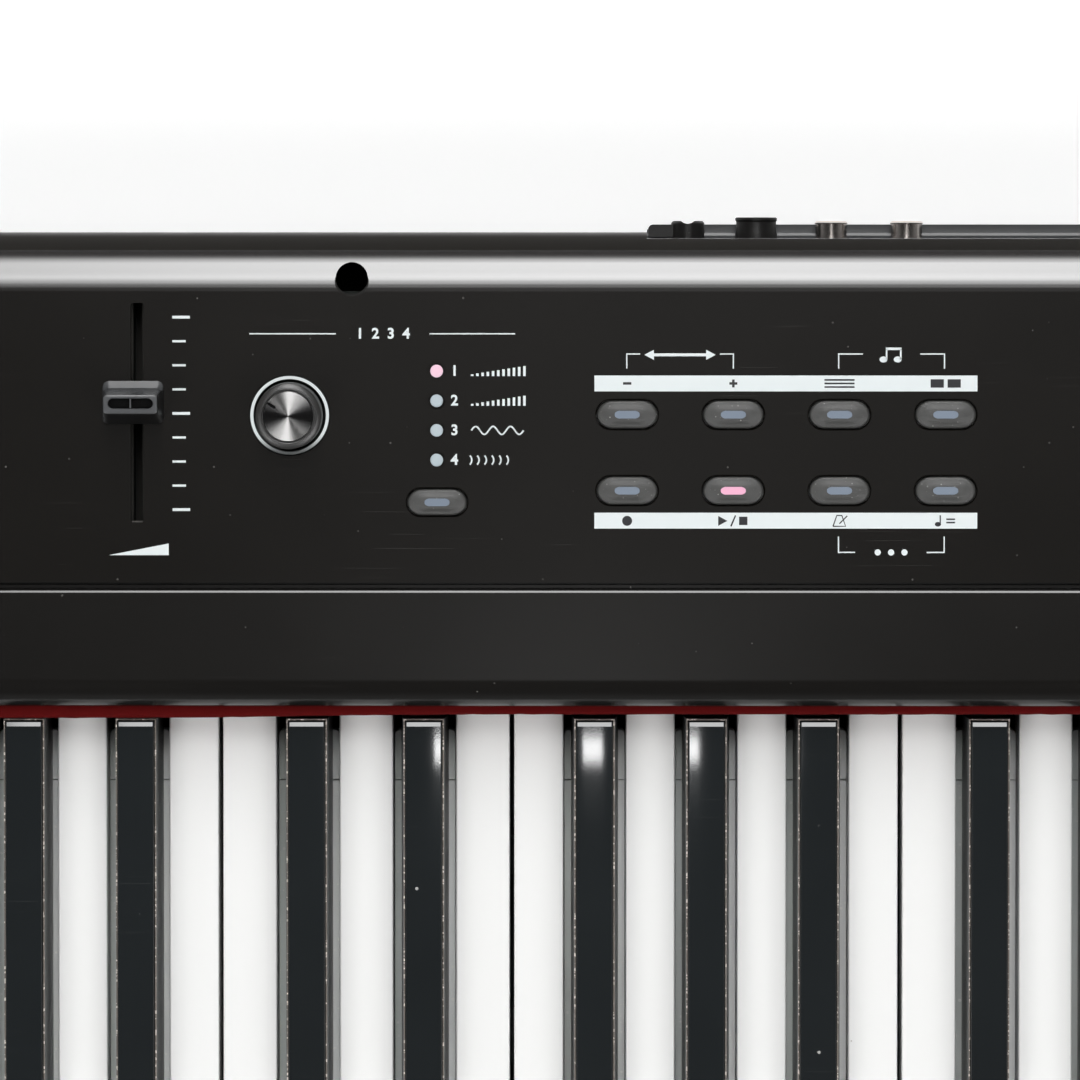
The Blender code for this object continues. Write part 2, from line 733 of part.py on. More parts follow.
def make_speakers(finishes):
    """Slim drivers that face down through the tray's vents."""
    base = TRAY_FLOOR + SEAT_GAP
    r, h = SPEAKER_RADIUS, SPEAKER_HEIGHT
    profile = [
        (0, 0.25 * h),
        (0.22 * r, 0.2 * h),
        (0.3 * r, 0.45 * h),
        (0.82 * r, 0.12 * h),
        (0.86 * r, 0),
        (r, 0),
        (r, 0.15 * h),
        (0.86 * r, 0.2 * h),
        (0.55 * r, 0.6 * h),
        (0.5 * r, h),
        (0, h),
    ]
    for side, x in (("left", -SPEAKER_LEFT), ("right", SPEAKER_LEFT)):
        bm = placed_turned(profile, 12, x, SPEAKER_DEPTH, base)
        make_object("speaker_" + side, bm, finishes["speaker"])


def button_places():
    """(name, x, depth, size) of every button."""
    places = [("button_select", -SELECT_BUTTON[0], SELECT_BUTTON[1], SELECT_SIZE)]
    for row, row_name in enumerate(("upper", "lower")):
        for column in range(BUTTON_COLUMNS):
            x = -BUTTON_FIRST[0] + column * BUTTON_PITCH
            depth = BUTTON_FIRST[1] + row * BUTTON_ROW
            places.append((f"button_{row_name}_{column + 1}", x, depth, BUTTON_SIZE))
    return places


def lamp_depths():
    return [LAMP_DEPTH + i * LAMP_PITCH for i in range(LAMP_COUNT)]


def make_top_case(finishes):
    shoulder = arc((SHOULDER_RADIUS, PANEL_TOP - SHOULDER_RADIUS), SHOULDER_RADIUS, 90, 180, SHOULDER_STEPS)
    profile = [(PANEL_DEPTH, SEAT), (PANEL_DEPTH, PANEL_TOP)] + shoulder + [(0, SEAT)]
    case = side_prism("top_case", profile, -OUTER_HALF, OUTER_HALF, finishes["panel"])

    inner_round = arc((SHOULDER_RADIUS, PANEL_TOP - SHOULDER_RADIUS), SHOULDER_RADIUS - WALL, 90, 180, SHOULDER_STEPS)
    below = SEAT - CASE_WALL
    ahead = PANEL_DEPTH + CASE_WALL
    lip = PANEL_DEPTH - WALL
    inside = [(lip, PANEL_UNDER)] + inner_round
    inside += [(WALL, below), (ahead, below), (ahead, LIP_BOTTOM), (lip, LIP_BOTTOM)]
    edge = OUTER_HALF - CASE_WALL
    hollow = side_prism("top_case_inside", inside, -edge, edge)

    over = PANEL_TOP + CASE_WALL
    under = PANEL_UNDER - CASE_WALL
    holes = bmesh.new()
    width, length = FADER_SLOT
    slot = [(-FADER[0] + a, FADER[1] + b) for b, a in stadium(0, 0, length, width, 4)]
    add_plan_prism(holes, slot, under, over)
    add_plan_prism(holes, arc((-KNOB[0], KNOB[1]), RING_RADIUS + RUNNING_GAP, 0, 345, 23), under, over)
    for depth in lamp_depths():
        add_plan_prism(holes, arc((-LAMP_LEFT, depth), LAMP_RADIUS + RUNNING_GAP, 0, 330, 11), under, over)
    for _, x, depth, (length, width) in button_places():
        gap = 2 * RUNNING_GAP
        add_plan_prism(holes, stadium(x, depth, length + gap, width + gap), under, over)
    for x in (-REST_HOLE[0], REST_HOLE[0]):
        around = arc((x, REST_HOLE[1]), REST_HOLE_RADIUS, 0, 337.5, 15)
        add_plan_prism(holes, around, under - CASE_WALL, over)

    bay = bmesh.new()
    left, right = -JACK_BAY[0], -JACK_BAY[1]
    add_box(bay, left, right, -CASE_WALL, JACK_BAY_STEP, 0, over)
    bay_opening = bmesh.new()
    add_box(bay_opening, left, right, -CASE_WALL, CASE_WALL, 0, JACK_BAY_TOP)
    boolean(case, "DIFFERENCE", hollow, make_object("panel_holes", holes),
            make_object("jack_bay_step", bay), make_object("jack_bay_opening", bay_opening))


def make_cover_strip(finishes):
    nose = PANEL_TOP - STRIP_NOSE
    round_centre = (STRIP_FRONT - STRIP_ROUND, PANEL_TOP - STRIP_ROUND)
    backing = STRIP_FRONT - STRIP_STEP
    felt_low = nose - FELT_HEIGHT
    flange = LIP_BOTTOM - SEAT_GAP
    bead_front = STRIP_REAR - (SEAM_WIDTH - SEAM_BEAD) / 2
    bead_top = PANEL_TOP - SEAM_BEAD
    profile = [(STRIP_REAR, PANEL_TOP)]
    profile += arc(round_centre, STRIP_ROUND, 90, 0, 6)
    profile += [
        (STRIP_FRONT, nose),
        (backing, nose),
        (backing, felt_low),
        (backing - WALL, felt_low),
        (backing - WALL, flange - WALL),
        (PANEL_DEPTH - SEAM_FLANGE, flange - WALL),
        (PANEL_DEPTH - SEAM_FLANGE, flange),
        (bead_front - SEAM_BEAD, flange),
        (bead_front - SEAM_BEAD, bead_top),
        (bead_front, bead_top),
        (bead_front, flange),
        (STRIP_REAR, flange),
    ]
    edge = INNER_HALF - SEAT_GAP
    side_prism("key_cover_strip", profile, -edge, edge, finishes["strip"])

    rear = backing + SEAT_GAP
    top = nose - SEAT_GAP
    front = rear + FELT_THICK
    low = felt_low + SEAT_GAP
    soft = FELT_THICK / 4
    felt = [(rear, top), (front - soft, top), (front, top - soft), (front, low + soft),
            (front - soft, low), (rear, low)]
    side_prism("felt_strip", felt, -edge, edge, finishes["felt"])


def make_ends(finishes):
    """End blocks beside the keys, and the rail in front of them."""
    front_top = PANEL_TOP - CHEEK_FRONT_DROP
    corner = arc((CASE_FRONT - CHEEK_ROUND, front_top - CHEEK_ROUND), CHEEK_ROUND, 90, 0, 6)
    rear = PANEL_DEPTH + SEAT_GAP
    profile = [(rear, SEAT), (rear, PANEL_TOP), (STRIP_FRONT, PANEL_TOP)] + corner + [(CASE_FRONT, SEAT)]
    for side, name in ((-1, "left_cheek"), (1, "right_cheek")):
        bm = bmesh.new()
        add_side_prism(bm, profile, side * INNER_HALF, side * OUTER_HALF)
        outer = [
            e for e in bm.edges
            if all(abs(abs(v.co.x) - OUTER_HALF) < 1e-6 and v.co.z > SEAT + 1e-6 for v in e.verts)
            and min(v.co.y for v in e.verts) < y_at(rear) - 1e-6
        ]
        bevel(bm, outer, CHEEK_EDGE, 2)
        make_object(name, bm, finishes["black_plastic"])

    rail_top = WHITE_TOP - FRONT_RAIL_DROP
    rounded = CHEEK_ROUND / 2
    profile = [(RAIL_REAR, SEAT), (RAIL_REAR, rail_top)]
    profile += arc((CASE_FRONT - rounded, rail_top - rounded), rounded, 90, 0, 5)
    profile += [(CASE_FRONT, SEAT)]
    edge = INNER_HALF - SEAT_GAP
    side_prism("front_rail", profile, -edge, edge, finishes["black_plastic"])


# Controls


def make_board(finishes):
    left = -FADER[0] - BOARD_EDGE
    right = -BUTTON_FIRST[0] + (BUTTON_COLUMNS - 1) * BUTTON_PITCH + BOARD_EDGE
    rear, front = BOARD_DEPTH
    bm = bmesh.new()
    add_box(bm, left, right, rear, front, BOARD_TOP - BOARD_THICK, BOARD_TOP)
    board = make_object("panel_board", bm, finishes["board"])
    side, height = SWITCH
    parts = bmesh.new()
    for _, x, depth, _ in button_places():
        add_box(parts, x - side / 2, x + side / 2, depth - side / 2, depth + side / 2,
                BOARD_TOP - BOARD_THICK / 2, BOARD_TOP + height)
    post = side / 2
    for x in (left + post, right - post):
        for depth in (rear + post, front - post):
            add_box(parts, x - post / 2, x + post / 2, depth - post / 2, depth + post / 2,
                    BOARD_TOP - BOARD_THICK / 2, PANEL_UNDER - SEAT_GAP)
    boolean(board, "UNION", make_object("board_parts", parts))


def make_buttons(finishes):
    for name, x, depth, (length, width) in button_places():
        top = PANEL_TOP + BUTTON_PROUD
        flange_top = PANEL_UNDER - SEAT_GAP
        flange_low = flange_top - BUTTON_FLANGE
        bm = bmesh.new()
        tops = add_plan_prism(bm, stadium(x, depth, length, width), flange_low + BUTTON_FLANGE / 2, top)
        bevel(bm, tops, BUTTON_PROUD / 3)
        origin = (x, y_at(depth), PANEL_TOP)
        button = make_object(name, bm, finishes["button"], origin)
        flange = bmesh.new()
        around = stadium(x, depth, length + 2 * BUTTON_FLANGE, width + 2 * BUTTON_FLANGE, 4)
        add_plan_prism(flange, around, flange_low, flange_top)
        stem = bmesh.new()
        half = BUTTON_STEM / 2
        stem_low = BOARD_TOP + SWITCH[1] + BUTTON_TRAVEL + SEAT_GAP
        add_box(stem, x - half, x + half, depth - half, depth + half, stem_low, flange_low + BUTTON_FLANGE / 2)
        window = bmesh.new()
        add_plan_prism(window, stadium(x, depth, BUTTON_WINDOW[0], BUTTON_WINDOW[1], 3),
                       top - BUTTON_WINDOW[2], top + BUTTON_FLANGE)
        boolean(button, "UNION", make_object(name + "_flange", flange), make_object(name + "_stem", stem))
        boolean(button, "DIFFERENCE", make_object(name + "_window", window))


def make_lamps(finishes):
    """Four light pipes that stand on one bar."""
    depths = lamp_depths()
    reach = 2 * LAMP_RADIUS
    bm = bmesh.new()
    add_box(bm, -LAMP_LEFT - reach, -LAMP_LEFT + reach, depths[0] - reach, depths[-1] + reach,
            ON_BOARD, ON_BOARD + reach)
    pipe = make_object("lamp_light_pipe", bm, finishes["lens"])
    for number, depth in enumerate(depths):
        height = PANEL_TOP + LAMP_PROUD - ON_BOARD - reach / 2
        post = placed_turned(rod_profile(LAMP_RADIUS, height, LAMP_PROUD), 8, -LAMP_LEFT, depth,
                             ON_BOARD + reach / 2)
        boolean(pipe, "UNION", make_object(f"lamp_post_{number}", post))


def make_fader(finishes):
    x, middle = -FADER[0], FADER[1]
    depth = middle - FADER_REST
    wide, deep, high = FADER_CAP
    top_wide, top_deep = FADER_TOP
    base = PANEL_TOP + FADER_LIFT
    top = PANEL_TOP + high
    skirt = base + high / 6
    profile = [
        (depth - deep / 2, base),
        (depth - deep / 2, skirt),
        (depth - top_deep / 2 - deep / 10, (skirt + top) / 2),
        (depth - top_deep / 2, top),
        (depth + top_deep / 2, top),
        (depth + top_deep / 2 + deep / 10, (skirt + top) / 2),
        (depth + deep / 2, skirt),
        (depth + deep / 2, base),
    ]
    bm = bmesh.new()
    cap_x = x - FADER_SHIFT
    add_side_prism(bm, profile, cap_x - wide / 2, cap_x + wide / 2)
    for vert in bm.verts:
        lean = (vert.co.z - base) / (top - base)
        vert.co.x = cap_x + (vert.co.x - cap_x) * (1 + (top_wide / wide - 1) * lean)
    upper = [e for e in bm.edges if all(abs(v.co.z - top) < 1e-6 for v in e.verts)]
    bevel(bm, upper, FADER_EDGE)
    cap = make_object("fader_cap", bm, finishes["fader"], (x, y_at(depth), PANEL_TOP))
    long, short, sunk = FADER_DIMPLE
    dimple = bmesh.new()
    add_plan_prism(dimple, stadium(cap_x, depth, long, short, 4), top - sunk, top + sunk)
    thin, run = FADER_STEM
    stem = bmesh.new()
    stem_low = ON_BOARD + WALL + SEAT_GAP
    add_box(stem, x - thin / 2, x + thin / 2, depth - run / 2, depth + run / 2, stem_low, base + high / 12)
    boolean(cap, "UNION", make_object("fader_stem", stem))
    boolean(cap, "DIFFERENCE", make_object("fader_dimple", dimple))

    track_wide, track_long = FADER_TRACK
    track = bmesh.new()
    add_box(track, x - track_wide / 2, x + track_wide / 2, middle - track_long / 2,
            middle + track_long / 2, ON_BOARD, PANEL_UNDER - SEAT_GAP)
    body = make_object("fader_track", track, finishes["steel"])
    channel = bmesh.new()
    half = thin / 2 + RUNNING_GAP
    run_half = FADER_SLOT[1] / 2
    add_box(channel, x - half, x + half, middle - run_half, middle + run_half, ON_BOARD + WALL, PANEL_TOP)
    boolean(body, "DIFFERENCE", make_object("fader_channel", channel))


def make_knob(finishes):
    x, depth = -KNOB[0], KNOB[1]
    base = PANEL_TOP + KNOB_LIFT
    height = KNOB_HEIGHT - KNOB_LIFT
    bore = SHAFT_RADIUS + RUNNING_GAP
    recess = DISC_RADIUS + SEAT_GAP
    floor = height - DISC_THICK - SEAT_GAP
    shaft_reach = height / 2
    profile = [
        (0, shaft_reach + SEAT_GAP),
        (bore, shaft_reach + SEAT_GAP),
        (bore, 0),
        (KNOB_RADIUS, 0),
        (KNOB_RADIUS - KNOB_DRAFT, height * 0.8),
        (KNOB_RADIUS - 2 * KNOB_DRAFT, height * 0.93),
        (KNOB_LIP_RADIUS, height),
        (recess, height),
        (recess, floor),
        (0, floor),
    ]
    bm = placed_turned(profile, 24, x, depth, base)
    make_object("control_knob", bm, finishes["knob"], (x, y_at(depth), base))

    disc_base = base + floor + SEAT_GAP
    disc_bm = placed_turned(rod_profile(DISC_RADIUS, DISC_THICK, DISC_THICK / 6), 24, x, depth, disc_base)
    disc = make_object("knob_disc", disc_bm, finishes["aluminium"], (x, y_at(depth), base))
    inner, outer, width = DISC_MARK
    mark = bmesh.new()
    middle = x + (inner + outer) / 2
    add_plan_prism(mark, stadium(middle, depth, outer - inner, width, 3), disc_base + DISC_THICK / 3, disc_base + height)
    turn = Matrix.Rotation(math.radians(DISC_MARK_ANGLE), 3, "Z")
    bmesh.ops.rotate(mark, verts=mark.verts, cent=(x, y_at(depth), 0), matrix=turn)
    boolean(disc, "DIFFERENCE", make_object("disc_mark", mark))

    ring_height = PANEL_TOP + RING_PROUD - ON_BOARD
    ring_bm = placed_turned(rod_profile(RING_RADIUS, ring_height), 24, x, depth, ON_BOARD)
    ring = make_object("knob_ring", ring_bm, finishes["lens"])
    hole_bm = placed_turned(rod_profile(RING_RADIUS - RING_THICK, 2 * ring_height), 24, x, depth,
                            ON_BOARD - ring_height / 2)
    boolean(ring, "DIFFERENCE", make_object("ring_hole", hole_bm))

    half = POT_WIDTH / 2
    encoder_bm = bmesh.new()
    body_top = ON_BOARD + ring_height / 2
    add_box(encoder_bm, x - half, x + half, depth - half, depth + half, ON_BOARD, body_top)
    encoder = make_object("knob_pot", encoder_bm, finishes["steel"])
    shaft = placed_turned(rod_profile(SHAFT_RADIUS, base + shaft_reach - body_top + half / 2), 16, x, depth,
                          body_top - half / 2)
    boolean(encoder, "UNION", make_object("pot_shaft", shaft))


# Jacks


def jack(name, left, radius, reach, finish, bore=None):
    """A barrel through the jack panel, with its body behind."""
    wide, high, deep = JACK_BODY
    panel_rear = JACK_BAY_STEP + WALL + SEAT_GAP
    bm = bmesh.new()
    add_box(bm, -left - wide / 2, -left + wide / 2, panel_rear, panel_rear + deep,
            JACK_HEIGHT - high / 2, JACK_HEIGHT + high / 2)
    body = make_object(name, bm, finish)
    length = panel_rear + reach + deep / 2
    barrel = placed_turned(rod_profile(radius, length, radius / 10), 16, -left, panel_rear + deep / 2,
                           JACK_HEIGHT, "Y")
    boolean(body, "UNION", make_object(name + "_barrel", barrel))
    if bore:
        bore_radius, bore_deep = bore
        hole = placed_turned(rod_profile(bore_radius, bore_deep + CASE_WALL), 16, -left,
                             bore_deep - reach, JACK_HEIGHT, "Y")
        boolean(body, "DIFFERENCE", make_object(name + "_bore", hole))
    return body


def make_jacks(finishes):
    left, right = -JACK_BAY[0] + SEAT_GAP, -JACK_BAY[1] - SEAT_GAP
    shelf_top = SEAT + JACK_SHELF_THICK
    bend = JACK_BAY_STEP
    profile = [(JACK_BAY_STEP + WALL, SEAT), (JACK_BAY_STEP + WALL, JACK_BAY_TOP - SEAT_GAP),
               (JACK_BAY_STEP, JACK_BAY_TOP - SEAT_GAP)]
    profile += arc((JACK_BAY_STEP - bend, shelf_top + bend), bend, 0, -90, 3)
    profile += [(-JACK_SHELF_REACH, shelf_top), (-JACK_SHELF_REACH, SEAT)]
    panel = side_prism("jack_panel", profile, left, right, finishes["jack_panel"])
    seats = [(POWER_LEFT, POWER_RADIUS), (PEDAL_LEFT, PEDAL_RADIUS)]
    seats += [(place, LINE_RADIUS) for place in LINE_LEFT]
    for number, (place, radius) in enumerate(seats):
        hole = placed_turned(rod_profile(radius + RUNNING_GAP, 10 * WALL), 16, -place,
                             JACK_BAY_STEP + 5 * WALL, JACK_HEIGHT, "Y")
        boolean(panel, "DIFFERENCE", make_object(f"jack_seat_{number}", hole))

    power = jack("power_inlet", POWER_LEFT, POWER_RADIUS, POWER_REACH, finishes["black_plastic"],
                 (POWER_BORE, JACK_BODY[2]))
    block = bmesh.new()
    bottom = shelf_top + SEAT_GAP
    block_top = JACK_HEIGHT + POWER_RADIUS / 2
    outline = [(-JACK_SHELF_REACH, bottom), (-SEAT_GAP, bottom), (bend - SEAT_GAP, bottom + bend),
               (bend - SEAT_GAP, block_top), (-JACK_SHELF_REACH, block_top)]
    add_side_prism(block, outline, left + SEAT_GAP, -POWER_LEFT - POWER_RADIUS * 0.75)
    boolean(power, "UNION", make_object("power_inlet_block", block))
    jack("pedal_jack", PEDAL_LEFT, PEDAL_RADIUS, JACK_REACH, finishes["black_plastic"],
         (PEDAL_BORE, PEDAL_BORE_DEEP))
    for side, place in zip(("left", "right"), LINE_LEFT):
        jack("line_jack_" + side, place, LINE_RADIUS, POWER_REACH, finishes["nickel"],
             (LINE_BORE, JACK_BODY[2]))


def main():
    clear_scene()
    finishes = {
        "ivory": material("ivory key plastic", (0.88, 0.88, 0.86), 0.3),
        "ebony": material("black key plastic", (0.02, 0.022, 0.024), 0.22),
        "chassis": material("chassis plastic", (0.25, 0.25, 0.25), 0.6),
        "steel": material("plated steel", (0.6, 0.6, 0.6), 0.35, 1.0),
        "rubber": material("black rubber", (0.03, 0.03, 0.03), 0.85),
        "black_plastic": material("black case plastic", (0.02, 0.019, 0.018), 0.5),
        "panel": material("satin panel plastic", (0.018, 0.016, 0.015), 0.42),
        "strip": material("gloss cover plastic", (0.012, 0.012, 0.011), 0.2),
        "felt": material("red felt", (0.2, 0.012, 0.01), 0.95),
        "board": material("board laminate", (0.02, 0.12, 0.05), 0.5),
        "button": material("speckled button plastic", (0.09, 0.09, 0.085), 0.6),
        "lens": material("clear lens", (0.8, 0.85, 0.87), 0.25),
        "fader": material("grey fader plastic", (0.09, 0.09, 0.09), 0.45),
        "knob": material("dark knob plastic", (0.03, 0.03, 0.03), 0.4),
        "aluminium": material("spun aluminium", (0.75, 0.74, 0.73), 0.3, 1.0),
        "nickel": material("nickel plate", (0.6, 0.57, 0.52), 0.25, 1.0),
        "jack_panel": material("grey jack panel", (0.12, 0.12, 0.12), 0.4),
        "speaker": material("speaker cone", (0.05, 0.05, 0.05), 0.8),
    }
    make_tray(finishes)
    make_feet(finishes)
    make_speakers(finishes)
    make_chassis(finishes)
    make_keys(finishes)
    make_top_case(finishes)
    make_cover_strip(finishes)
    make_ends(finishes)
    make_board(finishes)
    make_buttons(finishes)
    make_lamps(finishes)
    make_fader(finishes)
    make_knob(finishes)
    make_jacks(finishes)


main()
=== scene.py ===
import math

import bmesh
import bpy
from mathutils import Matrix, Vector, noise


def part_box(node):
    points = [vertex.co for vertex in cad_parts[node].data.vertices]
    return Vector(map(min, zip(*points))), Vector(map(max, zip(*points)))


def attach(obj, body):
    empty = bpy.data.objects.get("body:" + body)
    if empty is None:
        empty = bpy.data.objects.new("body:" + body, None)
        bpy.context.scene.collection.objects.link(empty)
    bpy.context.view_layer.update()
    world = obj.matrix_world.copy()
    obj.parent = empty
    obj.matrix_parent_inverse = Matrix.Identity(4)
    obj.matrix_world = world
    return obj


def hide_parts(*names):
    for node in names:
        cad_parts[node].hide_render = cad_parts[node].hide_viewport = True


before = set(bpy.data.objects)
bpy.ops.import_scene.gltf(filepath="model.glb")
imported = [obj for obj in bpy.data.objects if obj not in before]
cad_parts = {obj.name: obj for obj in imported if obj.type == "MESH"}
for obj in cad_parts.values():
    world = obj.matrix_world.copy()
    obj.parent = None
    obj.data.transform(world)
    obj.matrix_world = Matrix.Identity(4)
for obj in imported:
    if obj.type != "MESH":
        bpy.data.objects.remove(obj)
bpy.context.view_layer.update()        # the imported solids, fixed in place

mm = 0.001
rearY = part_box("top_case")[1][1]        # the back edge of the panel: depths are counted forward from it

print("digital piano:", len(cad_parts), "solids loaded")


# Shared tools

def place(x, depth, z):        # mm: right of the middle, forward of the back edge, above the feet's ground
    return Vector((x * mm, rearY - depth * mm, z * mm))


def addBlock(bm, left, right, rear, front, low, high):
    verts = bmesh.ops.create_cube(bm, size=1.0)["verts"]
    bmesh.ops.scale(bm, verts=verts, vec=((right - left) * mm, (front - rear) * mm, (high - low) * mm))
    bmesh.ops.translate(bm, verts=verts, vec=place((left + right) / 2, (rear + front) / 2, (low + high) / 2))
    return verts


def edgesWhere(bm, test, verts=None):
    chosen = set(verts) if verts is not None else None
    return [e for e in bm.edges
            if (chosen is None or all(v in chosen for v in e.verts)) and all(test(v.co) for v in e.verts)]


def roundEdges(bm, edges, width, segments=3, profile=0.5):
    return bmesh.ops.bevel(bm, geom=edges, offset=width * mm, offset_type="OFFSET", segments=segments,
                           profile=profile, affect="EDGES", clamp_overlap=True, material=-1)


def uprightEdges(verts):
    edges = {e for v in verts for e in v.link_edges}
    return [e for e in edges if (e.verts[0].co - e.verts[1].co).to_2d().length < 1e-7]


def addSlot(bm, x, depth, length, width, low, high, steps=8):        # a bar with round ends, standing up
    verts = addBlock(bm, x - length / 2, x + length / 2, depth - width / 2, depth + width / 2, low, high)
    before = set(bm.verts) - set(verts)
    roundEdges(bm, uprightEdges(verts), min(length, width) * 0.4999, steps)
    return [v for v in bm.verts if v not in before]


def addRod(bm, x, depth, radius, low, high, sides=48, topRadius=None):
    verts = bmesh.ops.create_cone(bm, cap_ends=True, segments=sides, radius1=radius * mm,
                                  radius2=(radius if topRadius is None else topRadius) * mm,
                                  depth=(high - low) * mm)["verts"]
    bmesh.ops.translate(bm, verts=verts, vec=place(x, depth, (low + high) / 2))
    return verts


def topFace(verts):
    faces = {f for v in verts for f in v.link_faces}
    return max(faces, key=lambda f: (round(f.calc_center_median().z, 6), f.calc_area()))


def flareTop(bm, verts, reach):        # carries a cutter's top up and outwards at 45 degrees, in mm
    face = topFace(verts)
    centre = face.calc_center_bounds()
    spanX = max(v.co.x for v in face.verts) - min(v.co.x for v in face.verts)
    spanY = max(v.co.y for v in face.verts) - min(v.co.y for v in face.verts)
    grown = bmesh.ops.extrude_face_region(bm, geom=[face])["geom"]
    lifted = [v for v in grown if isinstance(v, bmesh.types.BMVert)]
    bmesh.ops.delete(bm, geom=[face], context="FACES_ONLY")
    bmesh.ops.translate(bm, verts=lifted, vec=(0, 0, reach * mm))
    wider = Vector((1 + 2 * reach * mm / spanX, 1 + 2 * reach * mm / spanY, 1))
    bmesh.ops.scale(bm, verts=lifted, vec=wider, space=Matrix.Translation(-centre))


def addBar(bm, outline, left, right):        # outline of (depth, height) in mm, drawn out along X
    face = bm.faces.new([bm.verts.new(place(left, depth, z)) for depth, z in outline])
    drawn = bmesh.ops.extrude_face_region(bm, geom=[face])["geom"]
    far = [v for v in drawn if isinstance(v, bmesh.types.BMVert)]
    bmesh.ops.translate(bm, verts=far, vec=((right - left) * mm, 0, 0))
    return list(face.verts) + far


def longEdges(bm, depth, z):        # the edges along X that run through one point of the outline
    spot = place(0, depth, z)
    return edgesWhere(bm, lambda co: abs(co.y - spot.y) < 2e-5 and abs(co.z - spot.z) < 2e-5)


def addTurned(bm, profile, sides, x, depth, base, along="Z"):        # (radius, height) points spun round Z or Y
    verts = [bm.verts.new((r * mm, 0, h * mm)) for r, h in profile]
    edges = [bm.edges.new(pair) for pair in zip(verts, verts[1:])]
    before = set(bm.verts) - set(verts)
    bmesh.ops.spin(bm, geom=verts + edges, cent=(0, 0, 0), axis=(0, 0, 1), angle=2 * math.pi,
                   steps=sides, use_merge=True)
    fresh = [v for v in bm.verts if v not in before]
    bmesh.ops.remove_doubles(bm, verts=fresh, dist=1e-7)
    fresh = [v for v in bm.verts if v not in before]
    if along == "Y":
        bmesh.ops.rotate(bm, verts=fresh, matrix=Matrix.Rotation(-math.pi / 2, 3, "X"))
    bmesh.ops.translate(bm, verts=fresh, vec=place(x, depth, base))
    return fresh


def newObject(name, bm, materials=()):
    bmesh.ops.recalc_face_normals(bm, faces=bm.faces)
    mesh = bpy.data.meshes.new(name)
    bm.to_mesh(mesh)
    bm.free()
    for made in materials:
        mesh.materials.append(made)
    obj = bpy.data.objects.new(name, mesh)
    bpy.context.scene.collection.objects.link(obj)
    return obj


def applyModifiers(obj):
    graph = bpy.context.evaluated_depsgraph_get()
    mesh = bpy.data.meshes.new_from_object(obj.evaluated_get(graph))
    obj.modifiers.clear()
    obj.data = mesh


def cut(obj, bm, operation="DIFFERENCE"):
    tool = newObject("cutter", bm)
    step = obj.modifiers.new("cut", "BOOLEAN")
    step.operation, step.object, step.solver = operation, tool, "EXACT"
    applyModifiers(obj)
    bpy.data.objects.remove(tool, do_unlink=True)


def smoothBy(obj, angle=30):        # smooth shading that stops at edges sharper than this, with flat faces kept flat
    obj.data.shade_smooth()
    obj.data.set_sharp_from_angle(angle=math.radians(angle))
    weigh = obj.modifiers.new("even shading", "WEIGHTED_NORMAL")
    weigh.keep_sharp = True
    applyModifiers(obj)


def finishPiece(obj, body, slot, *nodes, angle=30):
    smoothBy(obj, angle)
    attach(obj, body)
    if nodes:
        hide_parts(*nodes)
    return obj


def solidCopy(node, name, materials):        # a CAD solid's mesh with its loose triangles joined up
    bm = bmesh.new()
    bm.from_mesh(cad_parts[node].data)
    bm.transform(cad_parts[node].matrix_world)
    bmesh.ops.remove_doubles(bm, verts=bm.verts, dist=1e-6)
    bmesh.ops.dissolve_limit(bm, angle_limit=math.radians(0.5), verts=bm.verts, edges=bm.edges)
    for face in bm.faces:
        face.material_index = 0
    return newObject(name, bm, materials)


# Shared surface effects

def newGroup(name, inputs, outputs):
    group = bpy.data.node_groups.new(name, "ShaderNodeTree")
    for socket, kind, value in inputs:
        made = group.interface.new_socket(name=socket, in_out="INPUT", socket_type=kind)
        if value is not None:
            made.default_value = value
    for socket, kind in outputs:
        group.interface.new_socket(name=socket, in_out="OUTPUT", socket_type=kind)
    return group, group.nodes.new("NodeGroupInput"), group.nodes.new("NodeGroupOutput")


def addMath(tree, operation, first, second=None, clamp=False):
    node = tree.nodes.new("ShaderNodeMath")
    node.operation, node.use_clamp = operation, clamp
    for socket, value in zip(node.inputs, (first, second)):
        if value is None:
            continue
        if isinstance(value, (int, float)):
            socket.default_value = value
        else:
            tree.links.new(value, socket)
    return node.outputs[0]


def buildFineGrain():        # moulded texture and slow tone changes
    tree, given, out = newGroup("fineGrain", [("Vector", "NodeSocketVector", None), ("Scale", "NodeSocketFloat", 2500.0)],
                                [("Height", "NodeSocketFloat"), ("Tone", "NodeSocketFloat")])
    fine = tree.nodes.new("ShaderNodeTexNoise")
    fine.inputs["Detail"].default_value = 2.0
    tree.links.new(given.outputs["Vector"], fine.inputs["Vector"])
    tree.links.new(given.outputs["Scale"], fine.inputs["Scale"])
    slow = tree.nodes.new("ShaderNodeTexNoise")
    slow.inputs["Detail"].default_value = 3.0
    tree.links.new(given.outputs["Vector"], slow.inputs["Vector"])
    tree.links.new(addMath(tree, "MULTIPLY", given.outputs["Scale"], 0.012), slow.inputs["Scale"])
    tree.links.new(fine.outputs["Fac"], out.inputs["Height"])
    tree.links.new(slow.outputs["Fac"], out.inputs["Tone"])
    return tree


